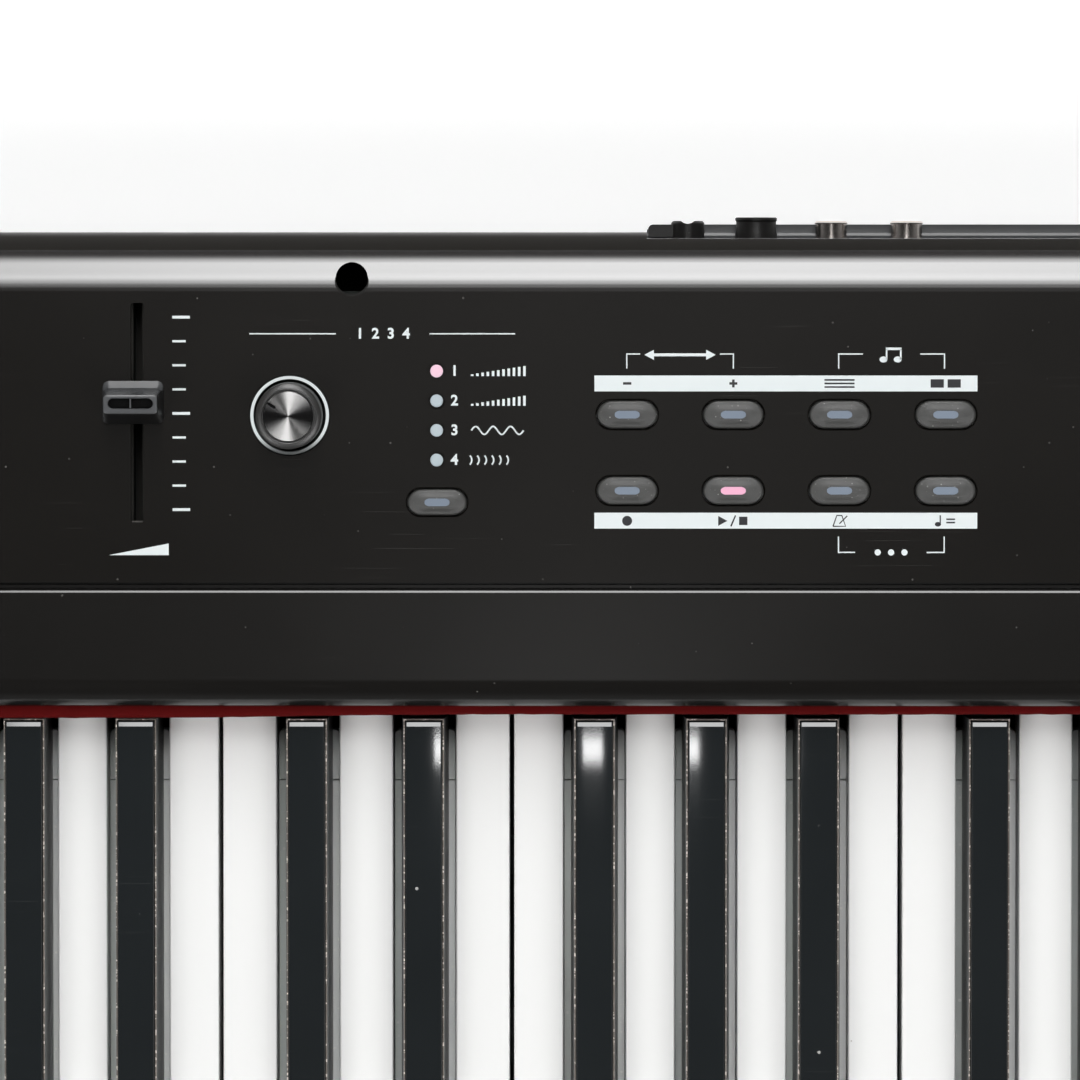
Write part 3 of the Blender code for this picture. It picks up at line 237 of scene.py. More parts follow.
def buildDustSpecks():        # scattered specks of uneven size; Amount is the share of cells that hold one
    tree, given, out = newGroup("dustSpecks", [("Vector", "NodeSocketVector", None), ("Scale", "NodeSocketFloat", 300.0),
                                               ("Amount", "NodeSocketFloat", 0.1), ("Size", "NodeSocketFloat", 0.2)],
                                [("Mask", "NodeSocketFloat")])
    cells = tree.nodes.new("ShaderNodeTexVoronoi")
    tree.links.new(given.outputs["Vector"], cells.inputs["Vector"])
    tree.links.new(given.outputs["Scale"], cells.inputs["Scale"])
    draw = tree.nodes.new("ShaderNodeSeparateColor")
    tree.links.new(cells.outputs["Color"], draw.inputs["Color"])
    radius = addMath(tree, "MULTIPLY", addMath(tree, "MULTIPLY", draw.outputs["Red"], draw.outputs["Red"]),
                     given.outputs["Size"])
    inside = addMath(tree, "MULTIPLY", addMath(tree, "SUBTRACT", radius, cells.outputs["Distance"]), 40.0, True)
    kept = addMath(tree, "LESS_THAN", draw.outputs["Green"], given.outputs["Amount"])
    faint = addMath(tree, "MULTIPLY", inside, draw.outputs["Blue"])
    tree.links.new(addMath(tree, "MULTIPLY", faint, kept), out.inputs["Mask"])
    return tree


def buildHairScratches():        # fine scratches along the vector's first axis
    tree, given, out = newGroup("hairScratches", [("Vector", "NodeSocketVector", None), ("Scale", "NodeSocketFloat", 60.0),
                                                  ("Amount", "NodeSocketFloat", 0.3)],
                                [("Mask", "NodeSocketFloat")])
    squeeze = tree.nodes.new("ShaderNodeMapping")
    squeeze.inputs["Scale"].default_value = (0.5, 40.0, 1.0)
    squeeze.inputs["Rotation"].default_value = (0.0, 0.0, 0.6)
    tree.links.new(given.outputs["Vector"], squeeze.inputs["Vector"])
    lines = tree.nodes.new("ShaderNodeTexNoise")
    lines.inputs["Detail"].default_value = 1.0
    tree.links.new(squeeze.outputs["Vector"], lines.inputs["Vector"])
    tree.links.new(given.outputs["Scale"], lines.inputs["Scale"])
    patches = tree.nodes.new("ShaderNodeTexNoise")
    patches.inputs["Scale"].default_value = 25.0
    tree.links.new(given.outputs["Vector"], patches.inputs["Vector"])
    thin = addMath(tree, "MULTIPLY", addMath(tree, "SUBTRACT", lines.outputs["Fac"], 0.68), 12.0, True)
    here = addMath(tree, "MULTIPLY", addMath(tree, "SUBTRACT", patches.outputs["Fac"], 0.5), 5.0, True)
    tree.links.new(addMath(tree, "MULTIPLY", addMath(tree, "MULTIPLY", thin, here), given.outputs["Amount"]),
                   out.inputs["Mask"])
    return tree


fineGrain, dustSpecks, hairScratches = buildFineGrain(), buildDustSpecks(), buildHairScratches()


# Where the controls stand: (across, depth) and sizes in mm
controls = {"slider": (-418.5, 43.0), "sliderSlot": (3.1, 52.6), "knob": (-382.0, 43.6), "ringHole": 9.7,
            "lampX": -346.8, "lampDepths": [33.0, 40.1, 47.2, 54.3], "lampHole": 1.8,
            "buttonFirst": (-301.2, 43.4), "buttonPitch": (25.4, 18.2), "buttonSize": (14.35, 6.6),
            "select": (-346.7, 64.4), "selectSize": (14.1, 6.2), "buttonGap": 0.25,
            "restX": 367.1, "restDepth": 10.8, "restHole": 4.0}


# Materials

def newMaterial(name):
    made = bpy.data.materials.new(name)
    made.use_nodes = True
    return made, made.node_tree, made.node_tree.nodes["Principled BSDF"]


def useGroup(tree, group, where, **values):
    node = tree.nodes.new("ShaderNodeGroup")
    node.node_tree = group
    tree.links.new(where, node.inputs["Vector"])
    for socket, value in values.items():
        node.inputs[socket].default_value = value
    return node


def mixColour(tree, mask, first, second):
    node = tree.nodes.new("ShaderNodeMix")
    node.data_type = "RGBA"
    for socket, value in ((node.inputs[0], mask), (node.inputs[6], first), (node.inputs[7], second)):
        if isinstance(value, tuple):
            socket.default_value = (*value, 1.0)
        elif isinstance(value, (int, float)):
            socket.default_value = value
        else:
            tree.links.new(value, socket)
    return node.outputs[2]


def fade(tree, value, start, end):        # 0 up to the start and 1 past the end, with a soft step between
    node = tree.nodes.new("ShaderNodeMapRange")
    node.interpolation_type = "SMOOTHSTEP"
    tree.links.new(value, node.inputs["Value"])
    node.inputs["From Min"].default_value, node.inputs["From Max"].default_value = start, end
    return node.outputs["Result"]


def scaled(colour, by):
    return tuple(min(1.0, c * by) for c in colour)


def plastic(name, colour, roughness, ior=1.5, tone=0.15, roughSpread=0.05, grain=2500.0, bump=0.05,
            dust=0.0, dustScale=300.0, dustSize=0.2, dustColour=(0.35, 0.34, 0.32), scratches=0.0, **numbers):
    made, tree, shader = newMaterial(name)
    where = tree.nodes.new("ShaderNodeTexCoord").outputs["Object"]
    surface = useGroup(tree, fineGrain, where, Scale=grain)
    body = mixColour(tree, surface.outputs["Tone"], scaled(colour, 1 - tone), scaled(colour, 1 + tone))
    rough = addMath(tree, "ADD", addMath(tree, "MULTIPLY", surface.outputs["Tone"], 2 * roughSpread),
                    roughness - roughSpread)
    height = surface.outputs["Height"]
    if dust:
        specks = useGroup(tree, dustSpecks, where, Scale=dustScale, Amount=dust, Size=dustSize)
        body = mixColour(tree, specks.outputs["Mask"], body, dustColour)
    if scratches:
        marks = useGroup(tree, hairScratches, where, Amount=scratches)
        body = mixColour(tree, marks.outputs["Mask"], body, dustColour)
        rough = addMath(tree, "ADD", rough, addMath(tree, "MULTIPLY", marks.outputs["Mask"], 0.2), True)
    tree.links.new(body, shader.inputs["Base Color"])
    tree.links.new(rough, shader.inputs["Roughness"])
    if bump:
        relief = tree.nodes.new("ShaderNodeBump")
        relief.inputs["Strength"].default_value = bump
        relief.inputs["Distance"].default_value = 0.0002
        tree.links.new(height, relief.inputs["Height"])
        tree.links.new(relief.outputs["Normal"], shader.inputs["Normal"])
    shader.inputs["IOR"].default_value = ior
    for socket, value in numbers.items():
        shader.inputs[socket.replace("_", " ")].default_value = value
    return made


finish = {
    "panel": plastic("satinPanel", (0.0055, 0.0046, 0.0036), 0.19, ior=1.5, tone=0.2, roughSpread=0.01, bump=0.02, dust=0.08,
                     dustScale=520.0, dustSize=0.16, scratches=0.05),
    "strip": plastic("coverGloss", (0.0058, 0.0051, 0.0043), 0.18, ior=1.6, tone=0.2, roughSpread=0.01, bump=0.02, dust=0.08,
                     dustScale=520.0, dustSize=0.16, scratches=0.04),
    "shoulderBack": plastic("matteBack", (0.018, 0.0165, 0.0145), 0.6, ior=1.15, tone=0.15, grain=1800.0, bump=0.05),
    "case": plastic("grainedCase", (0.012, 0.0115, 0.011), 0.5, tone=0.15, grain=1800.0, bump=0.25, dust=0.03),
    "ivory": plastic("ivoryKey", (0.94, 0.94, 0.93), 0.28, tone=0.004, roughSpread=0.01, bump=0.01, dust=0.02, dustScale=220.0,
                     dustSize=0.12, dustColour=(0.6, 0.58, 0.55)),
    "ebony": plastic("ebonyKey", (0.015, 0.018, 0.0195), 0.045, ior=2.2, tone=0.15, roughSpread=0.01, bump=0.004, dust=0.07,
                     dustScale=330.0, dustSize=0.17, dustColour=(0.5, 0.5, 0.48), scratches=0.05),
    "ebonySide": plastic("ebonySide", (0.008, 0.0085, 0.009), 0.35, bump=0.05, dust=0.12, dustScale=700.0,
                         dustSize=0.3, dustColour=(0.3, 0.26, 0.22)),
    "dustyEdge": plastic("dustyLedge", (0.20, 0.175, 0.155), 0.7, tone=0.5, grain=6000.0, bump=0.3, dust=0.8,
                         dustScale=1700.0, dustSize=0.9, dustColour=(0.95, 0.86, 0.78)),
    # painted light and shade: the right skirts' plastic is lightened against the shade between the keys, and the left
    # skirts' copy is darker as painted shade; the specks are dust
    "skirt": plastic("skirtDustAndPaintedLight", (0.88, 0.90, 0.88), 0.5, tone=0.35, grain=1500.0, bump=0.1, dust=0.5,
                     dustScale=900.0, dustSize=0.4, dustColour=(0.85, 0.85, 0.82), scratches=0.5),
    "skirtShadedLeft": plastic("skirtDustAndPaintedShade", (0.52, 0.55, 0.53), 0.5, tone=0.45, grain=1500.0, bump=0.1, dust=0.5,
                         dustScale=900.0, dustSize=0.4, dustColour=(0.6, 0.6, 0.58), scratches=0.5),
    "button": plastic("speckledButton", (0.042, 0.042, 0.040), 0.38, ior=1.6, tone=0.12, grain=5000.0, bump=0.35, dust=0.5,
                      dustScale=1500.0, dustSize=0.32, dustColour=(0.30, 0.30, 0.28)),
    "knob": plastic("satinKnob", (0.016, 0.0155, 0.015), 0.34, ior=1.8, bump=0.15, grain=7000.0),
    "fader": plastic("greyFader", (0.072, 0.075, 0.079), 0.26, ior=1.7, tone=0.1, bump=0.1, grain=4000.0),
    # painted shade: a near-black copy of the fader's grey, for its faces turned away from the light
    "faderShadedFaces": plastic("faderPaintedShade", (0.008, 0.008, 0.008), 0.45, tone=0.1, bump=0.1, grain=4000.0),
    "track": plastic("darkTrack", (0.018, 0.017, 0.015), 0.8, bump=0.1, Specular_IOR_Level=0.2),
    "lint": plastic("greyLint", (0.085, 0.08, 0.075), 0.9, tone=0.5, grain=9000.0, bump=0.3),
    # painted shade: near-black for the floors of recesses and grooves
    "hollow": plastic("deepBlackPaintedShade", (0.003, 0.003, 0.003), 0.8, bump=0.0, Specular_IOR_Level=0.1),
    "lampOff": plastic("lampLens", (0.48, 0.56, 0.6), 0.3, tone=0.05, bump=0.1, grain=3000.0),
    "lampLit": plastic("lampLit", (0.50, 0.20, 0.28), 0.3, tone=0.02, bump=0.0, Emission_Color=(0.96, 0.90, 1.0, 1.0),
                       Emission_Strength=0.48),
    "windowOff": plastic("windowLens", (0.21, 0.255, 0.32), 0.3, tone=0.12, bump=0.15, grain=2500.0, dust=0.1,
                         dustScale=1500.0),
    "windowLit": plastic("windowLit", (0.48, 0.16, 0.26), 0.3, tone=0.03, bump=0.1, Emission_Color=(1.0, 0.68, 0.85, 1.0),
                         Emission_Strength=0.47),
    "inkWhite": plastic("whiteInk", (0.785, 0.84, 0.847), 0.5, tone=0.02, bump=0.03),
    "inkDark": plastic("darkInk", (0.01, 0.011, 0.014), 0.5, tone=0.05, bump=0.03),
    "jackBlack": plastic("jackPlastic", (0.010, 0.0095, 0.009), 0.38, ior=1.45, bump=0.25, grain=3500.0, dust=0.1,
                         dustScale=900.0),
    "jackPlate": plastic("jackPlate", (0.020, 0.022, 0.024), 0.3, ior=1.6, bump=0.1, dust=0.06),
    "rubber": plastic("blackRubber", (0.018, 0.018, 0.018), 0.8, bump=0.4, grain=1500.0, dust=0.1),
    "chassis": plastic("chassisPlastic", (0.05, 0.05, 0.05), 0.6, bump=0.1),
    "board": plastic("boardLaminate", (0.004, 0.012, 0.006), 0.45, bump=0.1),
    "cone": plastic("speakerPaper", (0.02, 0.02, 0.02), 0.85, bump=0.5, grain=900.0),
}


def metal(name, colour, roughness, grain=3000.0, bump=0.05, anisotropy=0.0):
    made, tree, shader = newMaterial(name)
    where = tree.nodes.new("ShaderNodeTexCoord").outputs["Object"]
    surface = useGroup(tree, fineGrain, where, Scale=grain)
    tree.links.new(mixColour(tree, surface.outputs["Tone"], scaled(colour, 0.9), scaled(colour, 1.1)),
                   shader.inputs["Base Color"])
    tree.links.new(addMath(tree, "ADD", addMath(tree, "MULTIPLY", surface.outputs["Tone"], 0.08), roughness - 0.04),
                   shader.inputs["Roughness"])
    shader.inputs["Metallic"].default_value = 1.0
    shader.inputs["Anisotropic"].default_value = anisotropy
    shader.inputs["Anisotropic Rotation"].default_value = 0.25 if anisotropy else 0.0
    if anisotropy:
        turn = tree.nodes.new("ShaderNodeTangent")
        turn.direction_type, turn.axis = "RADIAL", "Z"
        tree.links.new(turn.outputs["Tangent"], shader.inputs["Tangent"])
    if bump:
        relief = tree.nodes.new("ShaderNodeBump")
        relief.inputs["Strength"].default_value = bump
        relief.inputs["Distance"].default_value = 0.0002
        tree.links.new(surface.outputs["Height"], relief.inputs["Height"])
        tree.links.new(relief.outputs["Normal"], shader.inputs["Normal"])
    return made


finish["steel"] = metal("platedSteel", (0.55, 0.55, 0.55), 0.35)
finish["nickel"] = metal("nickelPlate", (0.78, 0.72, 0.68), 0.20, bump=0.02)
finish["aluminium"] = metal("spunAluminium", (0.455, 0.45, 0.445), 0.21, bump=0.0, anisotropy=1.0)


def makeFeltMaterial():
    made, tree, shader = newMaterial("redFelt")
    where = tree.nodes.new("ShaderNodeTexCoord").outputs["Object"]
    fuzz = useGroup(tree, fineGrain, where, Scale=9000.0)
    tree.links.new(mixColour(tree, fuzz.outputs["Height"], (0.075, 0.0022, 0.0026), (0.19, 0.007, 0.0065)),
                   shader.inputs["Base Color"])
    shader.inputs["Roughness"].default_value = 0.95
    shader.inputs["Specular IOR Level"].default_value = 0.15
    relief = tree.nodes.new("ShaderNodeBump")
    relief.inputs["Strength"].default_value = 0.8
    relief.inputs["Distance"].default_value = 0.0003
    tree.links.new(fuzz.outputs["Height"], relief.inputs["Height"])
    tree.links.new(relief.outputs["Normal"], shader.inputs["Normal"])
    return made


def makeRingPaintedLightMaterial():        # a grey ring with painted light: emission that fades in towards its rear stands in for light on the rear and shade at the front
    made, tree, shader = newMaterial("ringLensPaintedLight")
    where = tree.nodes.new("ShaderNodeTexCoord").outputs["Object"]
    split = tree.nodes.new("ShaderNodeSeparateXYZ")
    tree.links.new(where, split.inputs[0])
    centre = place(0, controls["knob"][1], 0).y
    # painted light: the emission mask covers only the rear of the ring
    glow = addMath(tree, "MULTIPLY", fade(tree, split.outputs["Y"], centre - 9.3 * mm, centre - 4.2 * mm),
                   fade(tree, split.outputs["Z"], 111.5 * mm, 111.9 * mm))
    surface = useGroup(tree, fineGrain, where, Scale=2500.0)
    tree.links.new(mixColour(tree, surface.outputs["Tone"], (0.13, 0.14, 0.14), (0.16, 0.17, 0.17)),
                   shader.inputs["Base Color"])
    shader.inputs["Roughness"].default_value = 0.35
    shader.inputs["Emission Strength"].default_value = 0.62
    tree.links.new(mixColour(tree, glow, (0.0, 0.0, 0.0), (0.93, 1.0, 1.0)), shader.inputs["Emission Color"])
    return made


def addGloss(made, axis, start, end, roughness, ior):        # a clear gloss that grows from the start to the end
    tree = made.node_tree
    split = tree.nodes.new("ShaderNodeSeparateXYZ")
    tree.links.new(tree.nodes.new("ShaderNodeTexCoord").outputs["Object"], split.inputs[0])
    shader = tree.nodes["Principled BSDF"]
    tree.links.new(fade(tree, split.outputs[axis], start, end), shader.inputs["Coat Weight"])
    shader.inputs["Coat Roughness"].default_value = roughness
    shader.inputs["Coat IOR"].default_value = ior


def paintDiscSideShade(made, low):        # painted shade: the spun disc's base colour is duller to its left and right, standing in for its bow-tie reflection
    tree = made.node_tree
    shader = tree.nodes["Principled BSDF"]
    centre = place(*controls["knob"], 0)
    shifted = tree.nodes.new("ShaderNodeVectorMath")
    shifted.operation = "SUBTRACT"
    tree.links.new(tree.nodes.new("ShaderNodeTexCoord").outputs["Object"], shifted.inputs[0])
    shifted.inputs[1].default_value = centre
    split = tree.nodes.new("ShaderNodeSeparateXYZ")
    tree.links.new(shifted.outputs[0], split.inputs[0])
    ahead = addMath(tree, "ABSOLUTE", split.outputs["Y"])
    aside = addMath(tree, "ABSOLUTE", split.outputs["X"])
    # painted reflection: full colour towards the back and front, the dark colour towards the sides
    share = fade(tree, addMath(tree, "ARCTAN2", ahead, aside), math.radians(25), math.radians(58))
    plain = shader.inputs["Base Color"].links[0].from_socket
    tree.links.new(mixColour(tree, share, (low,) * 3, plain), shader.inputs["Base Color"])


paintDiscSideShade(finish["aluminium"], 0.16)
addGloss(finish["panel"], "Y", place(0, 13.2, 0).y, place(0, 9.8, 0).y, 0.19, 1.6)        # the rear shoulder
addGloss(finish["shoulderBack"], "Z", 103.6 * mm, 98.0 * mm, 0.5, 1.5)        # the upright back, like the tray's
finish["felt"] = makeFeltMaterial()
finish["ring"] = makeRingPaintedLightMaterial()
print("materials:", len(finish), "finishes")


# Top case

topCase = {"halfWidth": 656.75, "depth": 83.7, "top": 112.0, "seat": 46.3, "shoulder": 14.0, "shoulderSteps": 24,
           "wall": 2.5, "endWall": 3.0, "lip": 106.3, "rimChamfer": 0.25, "matteBelow": 0.70}
jackBay = {"left": -296.4, "right": -150.0, "step": 1.35, "top": 84.0}


def buttonPlaces():        # (node, x, depth, length, width)
    places = [("button_select", *controls["select"], *controls["selectSize"])]
    for row, rowName in enumerate(("upper", "lower")):
        for column in range(4):
            x = controls["buttonFirst"][0] + column * controls["buttonPitch"][0]
            depth = controls["buttonFirst"][1] + row * controls["buttonPitch"][1]
            places.append((f"button_{rowName}_{column + 1}", x, depth, *controls["buttonSize"]))
    return places


def makeTopCase():
    t = topCase
    bm = bmesh.new()
    addBlock(bm, -t["halfWidth"], t["halfWidth"], 0, t["depth"], t["seat"], t["top"])
    rearTop = place(0, 0, t["top"])
    roundEdges(bm, edgesWhere(bm, lambda co: (co - rearTop).yz.length < 1e-6), t["shoulder"], t["shoulderSteps"])
    bmesh.ops.recalc_face_normals(bm, faces=bm.faces)
    for face in bm.faces:        # the back and the rear half of the shoulder are matte, the ends like the cheeks
        if face.normal.y > 0.5 and face.normal.z < t["matteBelow"]:
            face.material_index = 1
        elif abs(face.normal.x) > 0.9:
            face.material_index = 3
    shell = newObject("panel_shell", bm, [finish[n] for n in ("panel", "shoulderBack", "track", "case")])

    inside = bmesh.new()
    edge = t["halfWidth"] - t["endWall"]
    addBlock(inside, -edge, edge, t["wall"], t["depth"] - t["wall"], t["seat"] - 3, t["top"] - t["wall"])
    roundEdges(inside, edgesWhere(inside, lambda co: (co - place(0, t["wall"], t["top"] - t["wall"])).yz.length < 1e-6),
               t["shoulder"] - t["wall"], t["shoulderSteps"])
    cut(shell, inside)
    mouth = bmesh.new()
    addBlock(mouth, -edge, edge, t["depth"] - 20, t["depth"] + 3, t["seat"] - 3, t["lip"])
    cut(shell, mouth)

    holes = bmesh.new()
    low, high, rim = t["top"] - 8, t["top"] - t["rimChamfer"], t["rimChamfer"]
    width, length = controls["sliderSlot"]
    x, depth = controls["slider"]
    roundEdges(holes, uprightEdges(addBlock(holes, x - width / 2, x + width / 2, depth - length / 2,
                                            depth + length / 2, low, t["top"] + 1)), 0.5, 4)
    addRod(holes, *controls["knob"], controls["ringHole"], low, t["top"] + 1, 96)
    for depth in controls["lampDepths"]:
        flareTop(holes, addRod(holes, controls["lampX"], depth, controls["lampHole"], low, high, 32), rim)
    for _, x, depth, long, short in buttonPlaces():
        gap = 2 * controls["buttonGap"]
        flareTop(holes, addSlot(holes, x, depth, long + gap, short + gap, low, high), 2 * rim)
    for x in (-controls["restX"], controls["restX"]):
        flareTop(holes, addRod(holes, x, controls["restDepth"], controls["restHole"] - 0.15, low - 4, high - rim, 64), 4 * rim)
    b = jackBay
    addBlock(holes, b["left"], b["right"], -3, 3, 0, b["top"])
    cut(shell, holes)
    step = bmesh.new()
    addBlock(step, b["left"], b["right"], -3, b["step"], b["top"] - 10, t["top"] + 3)
    cut(shell, step)
    slot = place(*controls["slider"], t["top"])
    for face in shell.data.polygons:        # the walls of the slider slot
        off = face.center - slot
        if abs(off.x) < width * 0.51 * mm and abs(off.y) < length * 0.51 * mm and off.z < -0.2 * mm:
            face.material_index = 2
    return finishPiece(shell, "case", "panel", "top_case", angle=20)


makeTopCase()
print("top case done")


# Key cover strip and felt

coverStrip = {"rear": 85.2, "front": 113.75, "top": 112.0, "nose": 104.5, "noseRound": 7.0, "noseShape": 0.55, "back": 112.1,
              "feltLow": 93.6, "wall": 2.5, "flange": 106.0, "flangeRear": 76.7, "beadRear": 84.2, "beadFront": 85.0,
              "beadTop": 110.6, "rearRound": 1.0, "halfLength": 611.45}
felt = {"rear": 112.4, "front": 116.75, "top": 104.2, "low": 93.9, "round": 1.0, "steps": 420, "fuzz": 0.14,
        "seed": 7.3, "thinFrom": -400.0, "thinRun": 70.0, "thin": 0.85}


def makeCoverStrip():
    s = coverStrip
    bm = bmesh.new()
    addBar(bm, [(s["rear"], s["top"]), (s["front"], s["top"]), (s["front"], s["nose"]), (s["back"], s["nose"]),
                (s["back"], s["feltLow"]), (s["back"] - s["wall"], s["feltLow"]),
                (s["back"] - s["wall"], s["flange"] - s["wall"]), (s["flangeRear"], s["flange"] - s["wall"]),
                (s["flangeRear"], s["flange"]), (s["beadRear"], s["flange"]), (s["beadRear"], s["beadTop"]),
                (s["beadFront"], s["beadTop"]), (s["beadFront"], s["flange"]), (s["rear"], s["flange"])],
           -s["halfLength"], s["halfLength"])
    roundEdges(bm, longEdges(bm, s["front"], s["top"]), s["noseRound"], 28, s["noseShape"])
    roundEdges(bm, longEdges(bm, s["rear"], s["top"]), s["rearRound"], 6)
    roundEdges(bm, longEdges(bm, s["front"], s["nose"]), 0.4, 3)
    roundEdges(bm, longEdges(bm, s["beadRear"], s["beadTop"]) + longEdges(bm, s["beadFront"], s["beadTop"]), 0.1, 2)
    return finishPiece(newObject("cover_strip_gloss", bm, [finish["strip"]]), "case", "cover_strip",
                       "key_cover_strip", angle=20)


def makeFelt():
    f = felt
    half = coverStrip["halfLength"]
    bm = bmesh.new()
    addBar(bm, [(f["rear"], f["top"]), (f["front"], f["top"]), (f["front"], f["low"]), (f["rear"], f["low"])],
           -half, half)
    roundEdges(bm, longEdges(bm, f["front"], f["top"]) + longEdges(bm, f["front"], f["low"]), f["round"], 3)
    along = [e for e in bm.edges if abs(e.verts[0].co.x - e.verts[1].co.x) > 1.0]
    bmesh.ops.subdivide_edges(bm, edges=along, cuts=f["steps"], use_grid_fill=True)
    frontY = place(0, f["front"], 0).y
    for vert in bm.verts:
        if vert.co.y > frontY + 0.0018:        # the glued back stays flat
            continue
        x, y, z = (c / mm for c in vert.co)
        slow = noise.noise(Vector((x * 0.012, f["seed"], 0)))
        quick = noise.noise(Vector((x * 0.45, y * 2, z * 2 + f["seed"])))
        thin = min(1.0, max(0.0, (x - f["thinFrom"]) / f["thinRun"]))
        vert.co.y += (f["thin"] * thin + 0.3 * abs(slow) + f["fuzz"] * (0.5 + quick)) * mm
    piece = finishPiece(newObject("felt_strip_fuzzy", bm, [finish["felt"]]), "case", "felt", "felt_strip", angle=50)
    return piece


makeCoverStrip()
makeFelt()
print("cover strip and felt done")


# Keys

keyboard = {"pitch": 23.5, "gap": 1.1, "tails": (13.0, 11.95), "whites": 52, "count": 88, "first": 9,
            "lone": range(12, 30)}
whiteKey = {"top": 91.0, "under": 71.0, "rear": 40.0, "front": 261.3, "wall": 2.0, "edge": 0.45, "corner": 1.0}
blackKey = {"rear": 117.0, "capRear": 117.65, "front": 211.3, "tail": 48.0, "tailTop": 88.0, "top": 103.0,
            "ledge": 101.6, "ledgeHalf": 4.88, "dustWide": 0.33, "flareHalf": 5.72, "baseHalf": 4.31, "topHalf": 4.28,
            "coreHalf": 4.45, "under": 71.0, "bevelLong": 1.0, "bevelDrop": 0.13, "slope": 5.5, "nose": 91.3,
            "edge": 0.20, "crown": 325.0, "roll": 1500.0, "rollFrom": 131.0, "notchGap": 1.2, "skirtHalf": 7.33, "skirtTop": 82.0,
            "skirtRear": 120.8, "split": 133.0, "bar": (60.0, 70.0, 64.0, 68.0)}


def isBlack(note):
    return (note + keyboard["first"]) % 12 in (1, 3, 6, 8, 10)


def keyName(note):
    letters = "c c d d e f f g g a a b".split()
    step = note + keyboard["first"]
    return f"key_{letters[step % 12]}{step // 12}" + ("_sharp" if isBlack(note) else "")


def whitesBefore(note, start=0):
    return sum(not isBlack(n) for n in range(start, note))


def headEdges(note):
    k = keyboard
    left = (whitesBefore(note) - k["whites"] / 2) * k["pitch"]
    return left + k["gap"] / 2, left + k["pitch"] - k["gap"] / 2


def tailEdges(note):        # a white key's narrow part, between the black keys beside it
    k = keyboard
    step = (note + k["first"]) % 12
    firstHalf = step < 5
    tail = k["tails"][0 if firstHalf else 1]
    whites = 3 if firstHalf else 4
    opening = (whites * (k["pitch"] - tail) - k["gap"]) / (whites - 1)
    order = whitesBefore(note, note - step + (0 if firstHalf else 5))
    left = (whitesBefore(note) - order - k["whites"] / 2) * k["pitch"] + k["gap"] / 2 + order * (tail + opening)
    return left, left + tail


def blackCentre(note):
    return (tailEdges(note - 1)[1] + tailEdges(note + 1)[0]) / 2


def addWhiteKey(bm, note):        # a shell that is open below, as keys are moulded
    w = whiteKey
    headLeft, headRight = headEdges(note)
    tailLeft, tailRight = tailEdges(note)
    notch = blackKey["front"] + blackKey["notchGap"]
    outline = [(headLeft, w["front"]), (headRight, w["front"])]
    if note < keyboard["count"] - 1 and isBlack(note + 1):
        outline += [(headRight, notch), (tailRight, notch), (tailRight, w["rear"])]
    else:
        outline.append((headRight, w["rear"]))
    if note > 0 and isBlack(note - 1):
        outline += [(tailLeft, w["rear"]), (tailLeft, notch), (headLeft, notch)]
    else:
        outline.append((headLeft, w["rear"]))
    before = set(bm.verts)
    cap = bm.faces.new([bm.verts.new(place(x, depth, w["top"])) for x, depth in outline])
    walls = bmesh.ops.extrude_edge_only(bm, edges=list(cap.edges))["geom"]
    lower = [v for v in walls if isinstance(v, bmesh.types.BMVert)]
    bmesh.ops.translate(bm, verts=lower, vec=(0, 0, (w["under"] - w["top"]) * mm))
    faces = list({f for v in bm.verts if v not in before for f in v.link_faces})
    bmesh.ops.recalc_face_normals(bm, faces=faces)
    if cap.normal.z < 0:
        bmesh.ops.reverse_faces(bm, faces=faces)
    fresh = [v for v in bm.verts if v not in before]
    corners = [e for e in uprightEdges(fresh)
               if min(abs(e.verts[0].co.y - place(0, w["front"], 0).y), 1) < 1e-6]
    roundEdges(bm, corners, w["corner"], 4)
    faces = list({f for v in bm.verts if v not in before for f in v.link_faces})
    bmesh.ops.solidify(bm, geom=faces, thickness=w["wall"] * mm)
    fresh = [v for v in bm.verts if v not in before]
    topZ = max(v.co.z for v in fresh)
    tops = edgesWhere(bm, lambda co: abs(co.z - topZ) < 1e-6, fresh)
    rims = [e for e in tops if len(e.link_faces) == 2 and any(abs(f.normal.z) < 0.5 for f in e.link_faces)]
    roundEdges(bm, rims, w["edge"], 3)


